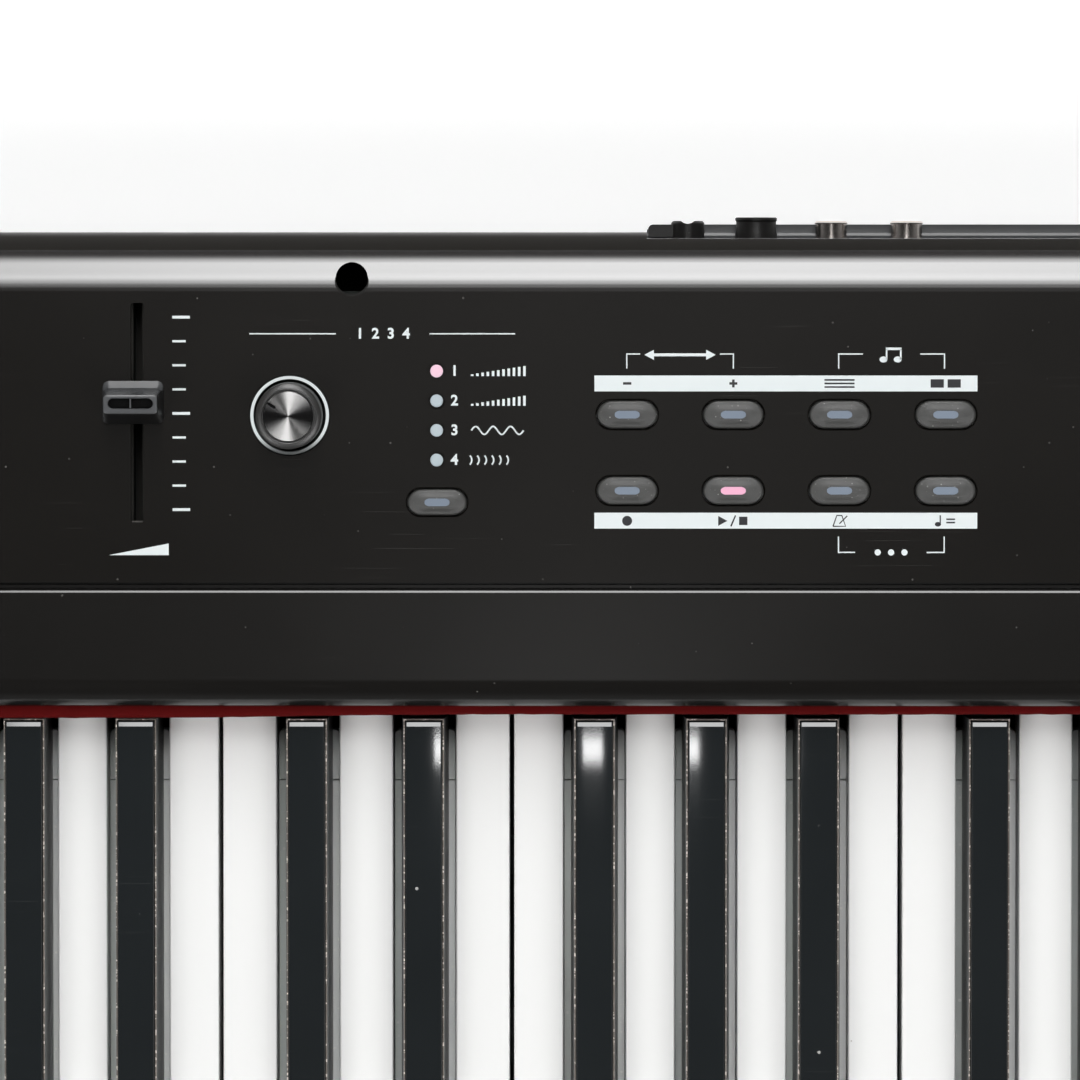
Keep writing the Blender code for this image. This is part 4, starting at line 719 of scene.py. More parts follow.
def addBlackKey(bm, note):        # material numbers: 0 top, 1 side, 2 dust line, 3 groove (painted shade), 4 left skirt (painted shade) and 5 right skirt (painted light)
    b = blackKey
    x = blackCentre(note)

    def paint(before, number):
        for face in bm.faces:
            if face not in before:
                face.material_index = number

    before = set(bm.faces)
    first = b["capRear"] + b["bevelLong"] + 0.1
    run = [first + (b["rollFrom"] - first) * i / 5 for i in range(6)]
    crest = [(d, b["top"] - (b["rollFrom"] - d) ** 2 / (2 * b["roll"])) for d in run]
    rearTop = (crest[0][0] - b["bevelLong"], crest[0][1] - b["bevelDrop"])
    frontTop = b["front"] - b["slope"]
    outline = [(b["capRear"], b["ledge"]), rearTop] + crest
    outline += [(frontTop, b["top"]), (frontTop + 1.3, b["top"] - 0.4), (frontTop + 2.2, b["ledge"])]
    verts = set(addBar(bm, outline, x - b["baseHalf"], x + b["baseHalf"]))
    across = [e for v in verts for e in v.link_edges if abs(e.verts[0].co.x - e.verts[1].co.x) > 2e-3]
    bmesh.ops.subdivide_edges(bm, edges=list(set(across)), cuts=7, use_grid_fill=True)
    fresh = [v for v in bm.verts if any(f not in before for f in v.link_faces)]
    lowZ, highZ = b["ledge"] * mm, b["top"] * mm
    for vert in fresh:
        lean = min(1.0, max(0.0, (vert.co.z - lowZ) / (highZ - lowZ)))
        narrow = (b["baseHalf"] + (b["topHalf"] - b["baseHalf"]) * lean) / b["baseHalf"]
        side = (vert.co.x / mm - x) * narrow
        vert.co.x = (x + side) * mm
        if lean > 0.5:
            vert.co.z -= side * side / (2 * b["crown"]) * mm
    sharp = [e for e in bm.edges if e.verts[0] in fresh and e.verts[1] in fresh and len(e.link_faces) == 2
             and all(v.co.z > lowZ + 0.2 * mm for v in e.verts)
             and e.calc_face_angle(0) > math.radians(50) and abs(e.verts[0].co.x - e.verts[1].co.x) < 2e-4]
    roundEdges(bm, sharp, b["edge"], 3)
    paint(before, 0)
    for face in bm.faces:
        if face not in before and abs(face.normal.z) < 0.35:
            face.material_index = 1

    before = set(bm.faces)        # the body under the ledge, wider towards its foot
    noseRear = frontTop + 2.6
    outline = [(b["rear"], b["skirtTop"]), (b["rear"], b["ledge"]), (noseRear, b["ledge"]),
               (noseRear + 0.9, b["ledge"] - 1.2), (b["front"], b["nose"]), (b["front"], b["skirtTop"])]
    for vert in addBar(bm, outline, x - b["ledgeHalf"], x + b["ledgeHalf"]):
        down = (b["ledge"] - vert.co.z / mm) / (b["ledge"] - b["skirtTop"])
        half = b["ledgeHalf"] + (b["flareHalf"] - b["ledgeHalf"]) * down
        vert.co.x = (x + half * (1 if vert.co.x > x * mm else -1)) * mm
    addBlock(bm, x - b["coreHalf"], x + b["coreHalf"], b["tail"], b["front"] - 0.4, b["under"], b["tailTop"])
    paint(before, 1)
    half, inner = b["ledgeHalf"], b["ledgeHalf"] - b["dustWide"]
    before = set(bm.faces)
    addBlock(bm, x - half, x + half, b["rear"], noseRear - 0.1, b["ledge"] - 0.3, b["ledge"] + 0.01)
    paint(before, 2)
    # painted shade: a near-black strip for the groove between the cap and the dust line
    before = set(bm.faces)
    addBlock(bm, x - inner, x + inner, b["rear"] + b["dustWide"], noseRear - 0.2, b["ledge"] - 0.2, b["ledge"] + 0.05)
    paint(before, 3)
    for side in (-1, 1):
        before = set(bm.faces)
        near, far = x + side * b["coreHalf"], x + side * b["skirtHalf"]
        for rear, front in ((b["skirtRear"], b["split"] - 0.15), (b["split"] + 0.15, b["front"] - 0.8)):
            verts = addBlock(bm, min(near, far), max(near, far), rear, front, b["under"] + 0.4, b["skirtTop"])
            if rear == b["skirtRear"]:
                corner = [e for e in uprightEdges(verts) if abs(e.verts[0].co.x - far * mm) < 1e-6
                          and abs(e.verts[0].co.y - place(0, rear, 0).y) < 1e-6]
                roundEdges(bm, corner, 1.2, 4)
        paint(before, 4 if side < 0 else 5)


def makeKeys():
    blackLook = [finish[n] for n in ("ebony", "ebonySide", "dustyEdge", "hollow", "skirtShadedLeft", "skirt")]
    k = keyboard
    runs = [([n], keyName(n)) for n in k["lone"]]
    for side, notes in (("left", range(k["lone"][0])), ("right", range(k["lone"][-1] + 1, k["count"]))):
        runs.append(([n for n in notes if not isBlack(n)], f"white_keys_{side}"))
        runs.append(([n for n in notes if isBlack(n)], f"black_keys_{side}"))
    for notes, node in runs:
        bm = bmesh.new()
        black = isBlack(notes[0])
        for note in notes:
            if black:
                addBlackKey(bm, note)
            else:
                addWhiteKey(bm, note)
        if len(notes) > 1 and black:
            rear, front, low, high = blackKey["bar"]
            first, last = blackCentre(notes[0]), blackCentre(notes[-1])
            addBlock(bm, first - 4, last + 4, rear, front, low, high)
            for note in notes:
                x = blackCentre(note)
                addBlock(bm, x - 4, x + 4, rear + 0.4, front - 0.4, high, blackKey["under"])
        if len(notes) > 1 and not black:
            low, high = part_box(node)
            addBlock(bm, low.x / mm + 0.5, high.x / mm - 0.5, whiteKey["rear"] - 4, whiteKey["rear"],
                     whiteKey["under"] + 0.5, whiteKey["top"] - 1)
        piece = newObject(node + "_shaped", bm, blackLook if black else [finish["ivory"]])
        finishPiece(piece, node, "ebony" if black else "ivory", node, angle=6 if black else 30)


makeKeys()
print("keys done")


# Buttons, lamps and windows

button = {"proud": 1.2, "low": 108.2, "flange": 1.0, "flangeHigh": 109.2, "edge": 0.95, "edgeSteps": 7, "crown": 0.42,
          "stem": 1.5, "stemLow": 99.2, "window": (6.0, 1.85), "windowDeep": 0.5, "windowSunk": 0.05,
          "litNode": "button_lower_2"}
lamp = {"radius": 1.55, "proud": 0.3, "round": 0.35, "bar": 3.1, "low": 96.2, "litNumber": 0}


def raiseFace(bm, face, rise, wide, deep):        # draws a level face up (or down), to a new size in mm
    centre = face.calc_center_bounds()
    spanX = max(v.co.x for v in face.verts) - min(v.co.x for v in face.verts)
    spanY = max(v.co.y for v in face.verts) - min(v.co.y for v in face.verts)
    grown = bmesh.ops.extrude_face_region(bm, geom=[face])["geom"]
    moved = [v for v in grown if isinstance(v, bmesh.types.BMVert)]
    bmesh.ops.delete(bm, geom=[face], context="FACES_ONLY")
    bmesh.ops.translate(bm, verts=moved, vec=(0, 0, rise * mm))
    bmesh.ops.scale(bm, verts=moved, vec=(wide * mm / spanX, deep * mm / spanY, 1),
                    space=Matrix.Translation(-centre))
    return next(f for f in grown if isinstance(f, bmesh.types.BMFace))


def makeButtons():
    b = button
    top = topCase["top"] + b["proud"]
    longWindow, shortWindow = b["window"]
    for node, x, depth, length, width in buttonPlaces():
        bm = bmesh.new()
        grow = 2 * b["flange"]
        verts = addSlot(bm, x, depth, length + grow, width + grow, b["low"], b["flangeHigh"], 12)
        face = raiseFace(bm, topFace(verts), 0, length, width)
        face = raiseFace(bm, face, top - b["edge"] - b["flangeHigh"], length, width)
        for step in range(1, b["edgeSteps"] + 1):        # the rolled edge, then a slightly domed top
            angle = math.radians(90 * step / b["edgeSteps"])
            last = math.radians(90 * (step - 1) / b["edgeSteps"])
            inward = 2 * b["edge"] * (1 - math.cos(angle))
            rise = (b["edge"] - b["crown"]) * (math.sin(angle) - math.sin(last))
            face = raiseFace(bm, face, rise, length - inward, width - inward)
        for reach in (0.25, 0.5, 0.75, 1.0):
            wide = length - inward + (longWindow + 0.12 - length + inward) * reach
            deep = width - inward + (shortWindow + 0.12 - width + inward) * reach
            rise = b["crown"] * (math.sin(reach * math.pi / 2) - math.sin((reach - 0.25) * math.pi / 2))
            face = raiseFace(bm, face, rise, wide, deep)
        face = raiseFace(bm, face, -b["windowDeep"], longWindow + 0.12, shortWindow + 0.12)
        face.material_index = 1
        bmesh.ops.recalc_face_normals(bm, faces=bm.faces)
        under = next(f for f in bm.faces if f.normal.z < -0.9 and abs(f.calc_center_median().z - b["low"] * mm) < 1e-6)
        raiseFace(bm, under, b["stemLow"] - b["low"], 2 * b["stem"], 2 * b["stem"])
        cap = newObject(node + "_cap", bm, [finish["button"], finish["hollow"]])
        finishPiece(cap, node, "button", node, angle=40)
        lens = bmesh.new()
        verts = addSlot(lens, x, depth, longWindow, shortWindow, top - b["windowDeep"] + 0.02, top - b["windowSunk"], 12)
        roundEdges(lens, list(topFace(verts).edges), 0.15, 3)
        look = finish["windowLit" if node == b["litNode"] else "windowOff"]
        finishPiece(newObject(node + "_window", lens, [look]), node, "lens", angle=50)


def makeLamps():
    l = lamp
    first, last = controls["lampDepths"][0], controls["lampDepths"][-1]
    bm = bmesh.new()
    addBlock(bm, controls["lampX"] - l["bar"], controls["lampX"] + l["bar"], first - l["bar"], last + l["bar"],
             l["low"], l["low"] + l["bar"])
    for number, depth in enumerate(controls["lampDepths"]):
        before = set(bm.faces)
        verts = addRod(bm, controls["lampX"], depth, l["radius"], l["low"] + l["bar"], topCase["top"] + l["proud"], 40)
        roundEdges(bm, list(topFace(verts).edges), l["round"], 4)
        for face in bm.faces:
            if face not in before and number == l["litNumber"]:
                face.material_index = 1
    piece = newObject("lamp_lenses", bm, [finish["lampOff"], finish["lampLit"]])
    finishPiece(piece, "case", "lens", "lamp_light_pipe")


makeButtons()
makeLamps()
print("buttons and lamps done")


# Slider

slider = {"shift": -0.95, "depth": 40.5, "base": 112.8, "top": 125.0, "foot": (14.6, 10.3), "footRound": 1.5,
          "rings": ((14.6, 0.0, 0.0, 0.4), (14.5, 0.8, 0.1, 0.95), (14.3, 1.65, 0.25, 1.55), (13.9, 2.0, 0.6, 3.0),
                    (13.5, 2.4, 1.2, 6.0), (13.2, 2.8, 1.9, 9.5), (12.95, 3.1, 2.65, 12.2)),
          "edge": 0.3, "recess": (10.7, 2.4, 1.6, 40.5), "mark": (0.35, 2.2), "stem": (1.6, 4.0, 99.0)}


def makeSlider():        # a sloped foot behind, a hollowed wall up to the ridge, and a steep front
    s = slider
    stemX, depth = controls["slider"][0], s["depth"]
    x = stemX + s["shift"]
    bm = bmesh.new()
    wide, deep = s["foot"]
    rear = depth - deep / 2
    verts = addBlock(bm, x - wide / 2, x + wide / 2, rear, rear + deep, s["base"], s["base"] + 0.3)
    roundEdges(bm, uprightEdges(verts), s["footRound"], 5)
    face = topFace(list(bm.verts))
    height, middle = 0.3, depth
    for ringWide, rearIn, frontIn, rise in s["rings"]:
        face = raiseFace(bm, face, rise - height, ringWide, deep - rearIn - frontIn)
        moved = rear + (rearIn + deep - frontIn) / 2 - middle
        bmesh.ops.translate(bm, verts=list(face.verts), vec=(0, -moved * mm, 0))
        height, middle = rise, middle + moved
    roundEdges(bm, list(face.edges), s["edge"], 3)
    bm.normal_update()
    ridge = place(0, rear + 2.2, 0).y
    for face in bm.faces:        # painted shade: the front and the right of the wall take a near-black copy of the grey plastic
        shadedFace = face.normal.y < -0.6 or (face.normal.x > 0.6 and face.calc_center_median().y < ridge)
        face.material_index = 1 if shadedFace else 0
    cap = newObject("slider_cap_shaped", bm, [finish["fader"], finish["faderShadedFaces"]])
    recess = bmesh.new()
    long, short, sunk, middle = s["recess"]
    flareTop(recess, addSlot(recess, x, middle, long, short, s["top"] - sunk, s["top"] - 0.2, 8), 0.5)
    cut(cap, recess)
    stem = bmesh.new()
    thin, run, low = s["stem"]
    addBlock(stem, stemX - thin / 2, stemX + thin / 2, depth - run / 2, depth + run / 2, low, s["base"] + 0.15)
    cut(cap, stem, "UNION")
    finishPiece(cap, "fader", "fader", "fader_cap", angle=40)
    # painted shade: a near-black sheet on the floor of the cap's recess
    floor = bmesh.new()
    addSlot(floor, x, middle, long, short, s["top"] - sunk, s["top"] - sunk + 0.1, 8)
    finishPiece(newObject("slider_recess_painted_shade", floor, [finish["hollow"]]), "fader", "fader")
    lint = bmesh.new()
    slotEnd = controls["slider"][1] + controls["sliderSlot"][1] / 2
    for bit in (stemX - 0.95, stemX - 0.35, stemX + 0.3, stemX + 0.85):
        addBlock(lint, bit - 0.32, bit + 0.33, slotEnd - 0.42, slotEnd - 0.03, 110.9, 111.6)
    finishPiece(newObject("slider_slot_lint", lint, [finish["lint"]]), "case", "panel")
    mark = bmesh.new()
    thick, high = s["mark"]
    addBlock(mark, x - thick / 2, x + thick / 2, middle - high / 2, middle + high / 2, s["top"] - sunk + 0.1,
             s["top"] - 0.25)
    finishPiece(newObject("slider_pointer", mark, [finish["fader"]]), "fader", "fader")


makeSlider()
print("slider done")


# Knob

knob = {"x": -382.0, "depth": 43.6, "base": 112.6, "radius": 8.0, "high": 10.4, "bore": 3.25, "boreHigh": 5.5,
        "lip": 6.75, "recess": 6.3, "recessDeep": 1.2, "discRadius": 6.0, "discThick": 0.9, "sides": 128,
        "mark": (3.5, 5.9, 1.0), "markAngle": 147.0, "ring": (9.42, 8.68), "ringLow": 96.2, "ringProud": 0.1}


def makeKnob():
    k = knob
    bm = bmesh.new()
    h = k["high"]
    profile = [(0, k["boreHigh"]), (k["bore"], k["boreHigh"]), (k["bore"], 0), (k["radius"] - 0.2, 0),
               (k["radius"], 0.25), (k["radius"] - 0.1, h * 0.5)]
    profile += [(k["radius"] - 0.15, h - 1.3), (k["radius"] - 0.2, h - 1.12), (k["radius"] - 0.32, h - 1.0),
                (k["lip"] + 0.2, h - 0.72), (k["lip"] + 0.02, h - 0.68)]
    for i in range(9):        # the raised lip round the disc
        angle = math.radians(180 * i / 8)
        profile.append(((k["lip"] + k["recess"]) / 2 + (k["lip"] - k["recess"]) / 2 * math.cos(angle),
                        h - 0.22 + 0.22 * math.sin(angle)))
    profile += [(k["recess"], h - k["recessDeep"]), (0, h - k["recessDeep"])]
    addTurned(bm, profile, k["sides"], k["x"], k["depth"], k["base"])
    finishPiece(newObject("knob_body_turned", bm, [finish["knob"]]), "knob", "knob", "control_knob", angle=25)

    disc = bmesh.new()
    low = h - k["recessDeep"] + 0.02
    thick = k["discThick"]
    profile = [(0, low), (k["discRadius"], low), (k["discRadius"], low + thick - 0.15),
               (k["discRadius"] - 0.15, low + thick)]
    profile += [(k["discRadius"] * i / 24, low + thick) for i in range(23, -1, -1)]
    addTurned(disc, profile, k["sides"], k["x"], k["depth"], k["base"])
    piece = newObject("knob_disc_spun", disc, [finish["aluminium"]])
    inner, outer, width = k["mark"]
    mark = bmesh.new()
    addSlot(mark, k["x"] + (inner + outer) / 2, k["depth"], outer - inner, width, k["base"] + low + 0.25,
            k["base"] + h + 1, 6)
    bmesh.ops.rotate(mark, verts=mark.verts, cent=place(k["x"], k["depth"], 0),
                     matrix=Matrix.Rotation(math.radians(k["markAngle"]), 3, "Z"))
    cut(piece, mark)
    finishPiece(piece, "knob", "aluminium", "knob_disc", angle=25)
    # painted shade: a near-black fill in the pointer groove
    inlay = bmesh.new()
    addSlot(inlay, k["x"] + (inner + outer) / 2, k["depth"], outer - inner - 0.3, width - 0.3, k["base"] + low + 0.2,
            k["base"] + low + thick - 0.08, 6)
    bmesh.ops.rotate(inlay, verts=inlay.verts, cent=place(k["x"], k["depth"], 0),
                     matrix=Matrix.Rotation(math.radians(k["markAngle"]), 3, "Z"))
    finishPiece(newObject("knob_pointer_painted_shade", inlay, [finish["hollow"]]), "knob", "knob", angle=40)

    ring = bmesh.new()
    outer, inner = k["ring"]
    low, top = k["ringLow"], topCase["top"] + k["ringProud"]
    addTurned(ring, [(inner, 0), (outer, 0), (outer, top - low - 0.15), (outer - 0.15, top - low),
                     (inner + 0.15, top - low), (inner, top - low - 0.15), (inner, 0)], k["sides"],
              k["x"], k["depth"], low)
    finishPiece(newObject("knob_ring_lens", ring, [finish["ring"]]), "case", "lens", "knob_ring", angle=40)


makeKnob()
print("knob done")


# Printed marks

ink = {"low": 112.004, "thick": 0.02, "tick": (-410.05, -405.85, -406.85), "tickFirst": 20.1, "tickPitch": 5.76,
       "tickThick": (0.67, 0.53), "header": 24.07, "headerRuns": ((-391.6, -370.9), (-348.5, -328.0)),
       "line": 0.30, "bars": ((34.05, 37.85), (66.9, 70.7)), "barRun": (-309.05, -217.4),
       "labelX": -343.4, "digit": 2.45, "columns": (-301.2, -275.8, -250.4, -225.0)}


def inkBlock(bm, left, right, rear, front, layer=0):
    low = ink["low"] + layer * ink["thick"]
    addBlock(bm, left, right, rear, front, low, low + ink["thick"])


def inkDisc(bm, x, depth, radius, layer=0, sides=32, wide=1.0):
    low = ink["low"] + layer * ink["thick"]
    verts = addRod(bm, x, depth, radius, low, low + ink["thick"], sides)
    bmesh.ops.scale(bm, verts=verts, vec=(wide, 1, 1), space=Matrix.Translation(-place(x, depth, low)))
    return verts


def inkShape(bm, corners, layer=0):        # a flat shape from a few corners, (x, depth)
    low = ink["low"] + layer * ink["thick"]
    face = bm.faces.new([bm.verts.new(place(x, depth, low)) for x, depth in corners])
    drawn = bmesh.ops.extrude_face_region(bm, geom=[face])["geom"]
    bmesh.ops.translate(bm, verts=[v for v in drawn if isinstance(v, bmesh.types.BMVert)],
                        vec=(0, 0, ink["thick"] * mm))


def inkStroke(bm, points, width, layer=0):        # a line of even width through points, (x, depth)
    path = bpy.data.curves.new("stroke", "CURVE")
    path.dimensions = "3D"
    path.bevel_depth, path.bevel_resolution, path.use_fill_caps = width / 2 * mm, 1, True
    spline = path.splines.new("POLY")
    spline.points.add(len(points) - 1)
    for point, (x, depth) in zip(spline.points, points):
        point.co = (*place(x, depth, 0), 1)
    holder = bpy.data.objects.new("stroke", path)
    mesh = bpy.data.meshes.new_from_object(holder)
    bpy.data.objects.remove(holder)
    low = ink["low"] + (layer + 0.5) * ink["thick"]
    mesh.transform(Matrix.Translation((0, 0, low * mm)) @ Matrix.Diagonal((1, 1, ink["thick"] / width, 1)))
    bm.from_mesh(mesh)


def inkText(bm, words, x, depth, height, layer=0, align="CENTER", bold=0.0):
    made = bpy.data.curves.new("mark", "FONT")
    made.body, made.align_x, made.align_y = words, align, "CENTER"
    made.size, made.offset, made.extrude = height / 0.70 * mm, bold * mm, ink["thick"] / 2 * mm
    holder = bpy.data.objects.new("mark", made)
    bpy.context.scene.collection.objects.link(holder)
    graph = bpy.context.evaluated_depsgraph_get()
    mesh = bpy.data.meshes.new_from_object(holder.evaluated_get(graph))
    bpy.data.objects.remove(holder, do_unlink=True)
    low = ink["low"] + (layer + 0.5) * ink["thick"]
    mesh.transform(Matrix.Translation(place(x, depth, low)))
    bm.from_mesh(mesh)


def makeWhiteInk():
    i = ink
    bm = bmesh.new()
    left, longEnd, shortEnd = i["tick"]
    for number in range(9):
        long = number % 4 == 0
        half = i["tickThick"][0 if long else 1] / 2
        depth = i["tickFirst"] + number * i["tickPitch"]
        inkBlock(bm, left, longEnd if long else shortEnd, depth - half, depth + half)
    half = i["line"] / 2
    for left, right in i["headerRuns"]:
        inkBlock(bm, left, right, i["header"] - half, i["header"] + half)
    for rear, front in i["bars"]:
        inkBlock(bm, *i["barRun"], rear, front)
    for left, leftEnd, rightStart, right, run, foot in (
            (-301.3, -298.1, -279.0, -275.8, 28.9, 32.4), (-250.6, -244.8, -231.1, -225.3, 28.9, 32.4),
            (-250.6, -246.6, -229.5, -225.3, 76.4, 72.6)):
        inkBlock(bm, left - half, leftEnd, run - half, run + half)
        inkBlock(bm, rightStart, right + half, run - half, run + half)
        for x in (left, right):
            inkBlock(bm, x - half, x + half, min(run, foot) + (half if run < foot else 0),
                     max(run, foot) - (half if run > foot else 0))
    inkText(bm, "1  2  3  4", -359.6, 24.1, 2.45, bold=0.10)
    for number, depth in enumerate(controls["lampDepths"]):
        inkText(bm, str(number + 1), i["labelX"], depth, i["digit"], align="LEFT", bold=0.10)
    for row in (0, 1):        # rising bars beside the first two lamps
        depth = controls["lampDepths"][row]
        for step in range(11):
            x = -338.6 + step * 1.25
            rise = 0.45 + 1.95 * step / 10
            inkBlock(bm, x, x + 0.62, depth + 1.2 - rise, depth + 1.2)
    depth = controls["lampDepths"][2]
    inkStroke(bm, [(-338.5 + 12.5 * s / 60, depth - 0.95 * math.sin(s / 60 * 6 * math.pi)) for s in range(61)], 0.42)
    depth = controls["lampDepths"][3]
    for number in range(6):
        middle = -339.9 + number * 1.75
        inkStroke(bm, [(middle + 1.5 * math.cos(a / 10), depth - 1.5 * math.sin(a / 10)) for a in range(-8, 9)], 0.42)
    inkShape(bm, [(-425.4, 77.1), (-411.0, 77.1), (-411.0, 74.3)])        # the wedge under the slider
    inkShape(bm, [(-297.1, 29.1), (-294.8, 27.9), (-294.8, 30.3)])        # a double arrow
    inkShape(bm, [(-280.0, 29.1), (-282.3, 30.3), (-282.3, 27.9)])
    inkBlock(bm, -294.8, -282.3, 28.75, 29.45)
    for x in (-239.9, -236.5):        # a pair of notes
        inkDisc(bm, x, 30.2, 0.72, wide=1.3)
        inkBlock(bm, x + 0.55, x + 0.95, 27.7, 30.2)
    inkBlock(bm, -239.35, -235.55, 27.35, 27.95)
    for x in (-241.2, -238.0, -234.8):
        inkDisc(bm, x, 76.4, 0.75)
    piece = newObject("panel_marks_white", bm, [finish["inkWhite"]])
    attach(piece, "case")


def makeDarkInk():
    columns = ink["columns"]
    bm = bmesh.new()
    upper, lower = 35.95, 68.85
    inkBlock(bm, columns[0] - 1.0, columns[0] + 1.0, upper - 0.3, upper + 0.3, 1)
    inkBlock(bm, columns[1] - 0.95, columns[1] + 0.95, upper - 0.3, upper + 0.3, 1)
    inkBlock(bm, columns[1] - 0.3, columns[1] + 0.3, upper - 0.95, upper - 0.3, 1)
    inkBlock(bm, columns[1] - 0.3, columns[1] + 0.3, upper + 0.3, upper + 0.95, 1)
    for step in (-1, 0, 1):        # stacked lines
        inkBlock(bm, columns[2] - 3.6, columns[2] + 3.6, upper + step * 0.85 - 0.2, upper + step * 0.85 + 0.2, 1)
    for left, right in ((-3.6, -0.45), (0.45, 3.6)):        # two halves
        inkBlock(bm, columns[3] + left, columns[3] + right, upper - 1.0, upper + 1.0, 1)
    inkDisc(bm, columns[0], lower, 1.2, 1)
    inkShape(bm, [(columns[1] - 3.6, lower - 1.2), (columns[1] - 3.6, lower + 1.2), (columns[1] - 1.4, lower)], 1)
    inkStroke(bm, [(columns[1] - 0.55, lower + 1.3), (columns[1] + 0.55, lower - 1.3)], 0.35, 1)
    inkBlock(bm, columns[1] + 1.4, columns[1] + 3.4, lower - 1.0, lower + 1.0, 1)
    x = columns[2]        # a tapered case with a leaning rod
    inkStroke(bm, [(x - 1.5, lower + 1.3), (x - 0.6, lower - 1.3), (x + 0.6, lower - 1.3), (x + 1.5, lower + 1.3),
                   (x - 1.5, lower + 1.3)], 0.3, 1)
    inkStroke(bm, [(x, lower + 0.7), (x + 1.9, lower - 1.2)], 0.28, 1)
    x = columns[3]
    inkDisc(bm, x - 1.8, lower + 0.8, 0.55, 1, wide=1.35)
    inkBlock(bm, x - 1.4, x - 1.1, lower - 1.35, lower + 0.8, 1)
    for step in (-0.4, 0.4):
        inkBlock(bm, x + 0.2, x + 2.3, lower + step - 0.18, lower + step + 0.18, 1)
    piece = newObject("panel_marks_dark", bm, [finish["inkDark"]])
    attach(piece, "case")


makeWhiteInk()
makeDarkInk()
print("printed marks done")


# Jacks

jacks = {"height": 57.0, "body": (12.0, 12.0, 11.0), "bodyRear": 4.15, "power": (-286.1, 4.1, 2.9),
         "pedal": (-269.3, 5.15, 3.75), "lines": (-250.9, -232.4), "lineRadius": 4.15, "lineReach": 2.9,
         "pedalBore": 3.35, "lineBore": 1.7, "powerBore": 2.85, "sides": 64}


def makeJacks():
    j = jacks
    wide, high, deep = j["body"]
    z = j["height"]

    def body(bm, x, edge):
        verts = addBlock(bm, x - wide / 2, x + wide / 2, j["bodyRear"], j["bodyRear"] + deep, z - high / 2, z + high / 2)
        roundEdges(bm, list({e for v in verts for e in v.link_edges}), edge, 2)

    def barrel(bm, x, start, points):        # points: (radius, reach behind the back edge)
        profile = [(0, 0)] + [(points[0][0], 0)] + [(r, start + reach) for r, reach in points]
        addTurned(bm, profile, j["sides"], x, start, z, "Y")

    x, radius, reach = j["pedal"]
    bm = bmesh.new()
    barrel(bm, x, j["bodyRear"] + 0.0, [(radius, -0.4), (radius - 0.25, 0.3), (radius - 0.25, reach - 1.1),
                                        (radius, reach - 0.7), (radius, reach - 0.2), (radius - 0.25, reach),
                                        (j["pedalBore"] + 0.3, reach), (j["pedalBore"], reach - 0.35),
                                        (j["pedalBore"], -j["bodyRear"] + 0.5), (0, -j["bodyRear"] + 0.5)])
    box = bmesh.new()
    body(box, x, 0.6)
    piece = newObject("pedal_jack_turned", bm, [finish["jackBlack"]])
    cut(piece, box, "UNION")
    hole = bmesh.new()
    addTurned(hole, [(0, 0), (j["pedalBore"], 0), (j["pedalBore"], 30), (0, 30)], j["sides"], x, 16.2, z, "Y")
    cut(piece, hole)
    finishPiece(piece, "case", "case", "pedal_jack", angle=30)

    for side, x in zip(("left", "right"), j["lines"]):
        radius, reach = j["lineRadius"], j["lineReach"]
        bm = bmesh.new()
        barrel(bm, x, j["bodyRear"], [(radius - 0.3, -0.5), (radius - 0.3, reach - 0.8),
                                      (radius, reach - 0.6), (radius, reach - 0.45), (radius - 0.5, reach),
                                      (j["lineBore"] + 0.5, reach), (j["lineBore"], reach - 0.5),
                                      (j["lineBore"], -3.0), (0, -3.0)])
        box = bmesh.new()
        body(box, x, 0.6)
        piece = newObject(f"line_jack_{side}_turned", bm, [finish["nickel"]])
        cut(piece, box, "UNION")
        finishPiece(piece, "case", "nickel", f"line_jack_{side}", angle=30)

    x, radius, reach = j["power"]
    bm = bmesh.new()
    barrel(bm, x, j["bodyRear"], [(radius, -0.5), (radius, reach - 0.6), (radius - 0.3, reach - 0.15), (radius - 0.7, reach),
                                  (j["powerBore"] + 0.2, reach - 0.4), (j["powerBore"], reach - 1.2),
                                  (j["powerBore"], -3.0), (0, -3.0)])
    piece = newObject("power_inlet_turned", bm, [finish["jackBlack"]])
    box = bmesh.new()
    body(box, x, 0.6)
    cut(piece, box, "UNION")
    clip = bmesh.new()
    left, right = jackBay["left"] + 0.6, x - radius * 0.75
    verts = addBlock(clip, left, right, -2.0, 1.0, 50.3, z + 2)
    roundEdges(clip, [e for e in uprightEdges(verts) if e.verts[0].co.x < left * mm + 1e-5
                      and e.verts[0].co.y > place(0, 0, 0).y], 1.2, 5)
    cut(piece, clip, "UNION")
    dimple = bmesh.new()
    addRod(dimple, x, -reach - 1.7, 2.4, z - radius - 2, z + radius + 2, 48)
    cut(piece, dimple)
    finishPiece(piece, "case", "case", "power_inlet", angle=30)

    plate = solidCopy("jack_panel", "jack_plate_joined", [finish["jackPlate"]])
    corner = bmesh.new()        # the shelf's outer corner is taken off
    addBlock(corner, jackBay["left"] - 1.2, jackBay["left"] + 1.2, -3.2, -0.8, 0, jackBay["top"])
    bmesh.ops.rotate(corner, verts=corner.verts, cent=place(jackBay["left"], -2.0, 0),
                     matrix=Matrix.Rotation(math.pi / 4, 3, "Z"))
    cut(plate, corner)
    finishPiece(plate, "case", "jack_panel", "jack_panel", angle=30)


makeJacks()
print("jacks done")


# Cheeks, rail, tray and feet

ends = {"inner": 611.75, "outer": 656.75, "rear": 84.0, "shoulderDepth": 113.3, "front": 277.3, "top": 112.0,
        "frontTop": 98.0, "seat": 46.3, "frontRound": 10.0, "edge": 2.0}
frontRail = {"rear": 262.3, "front": 277.3, "top": 78.0, "seat": 46.3, "round": 5.0, "halfLength": 611.45}


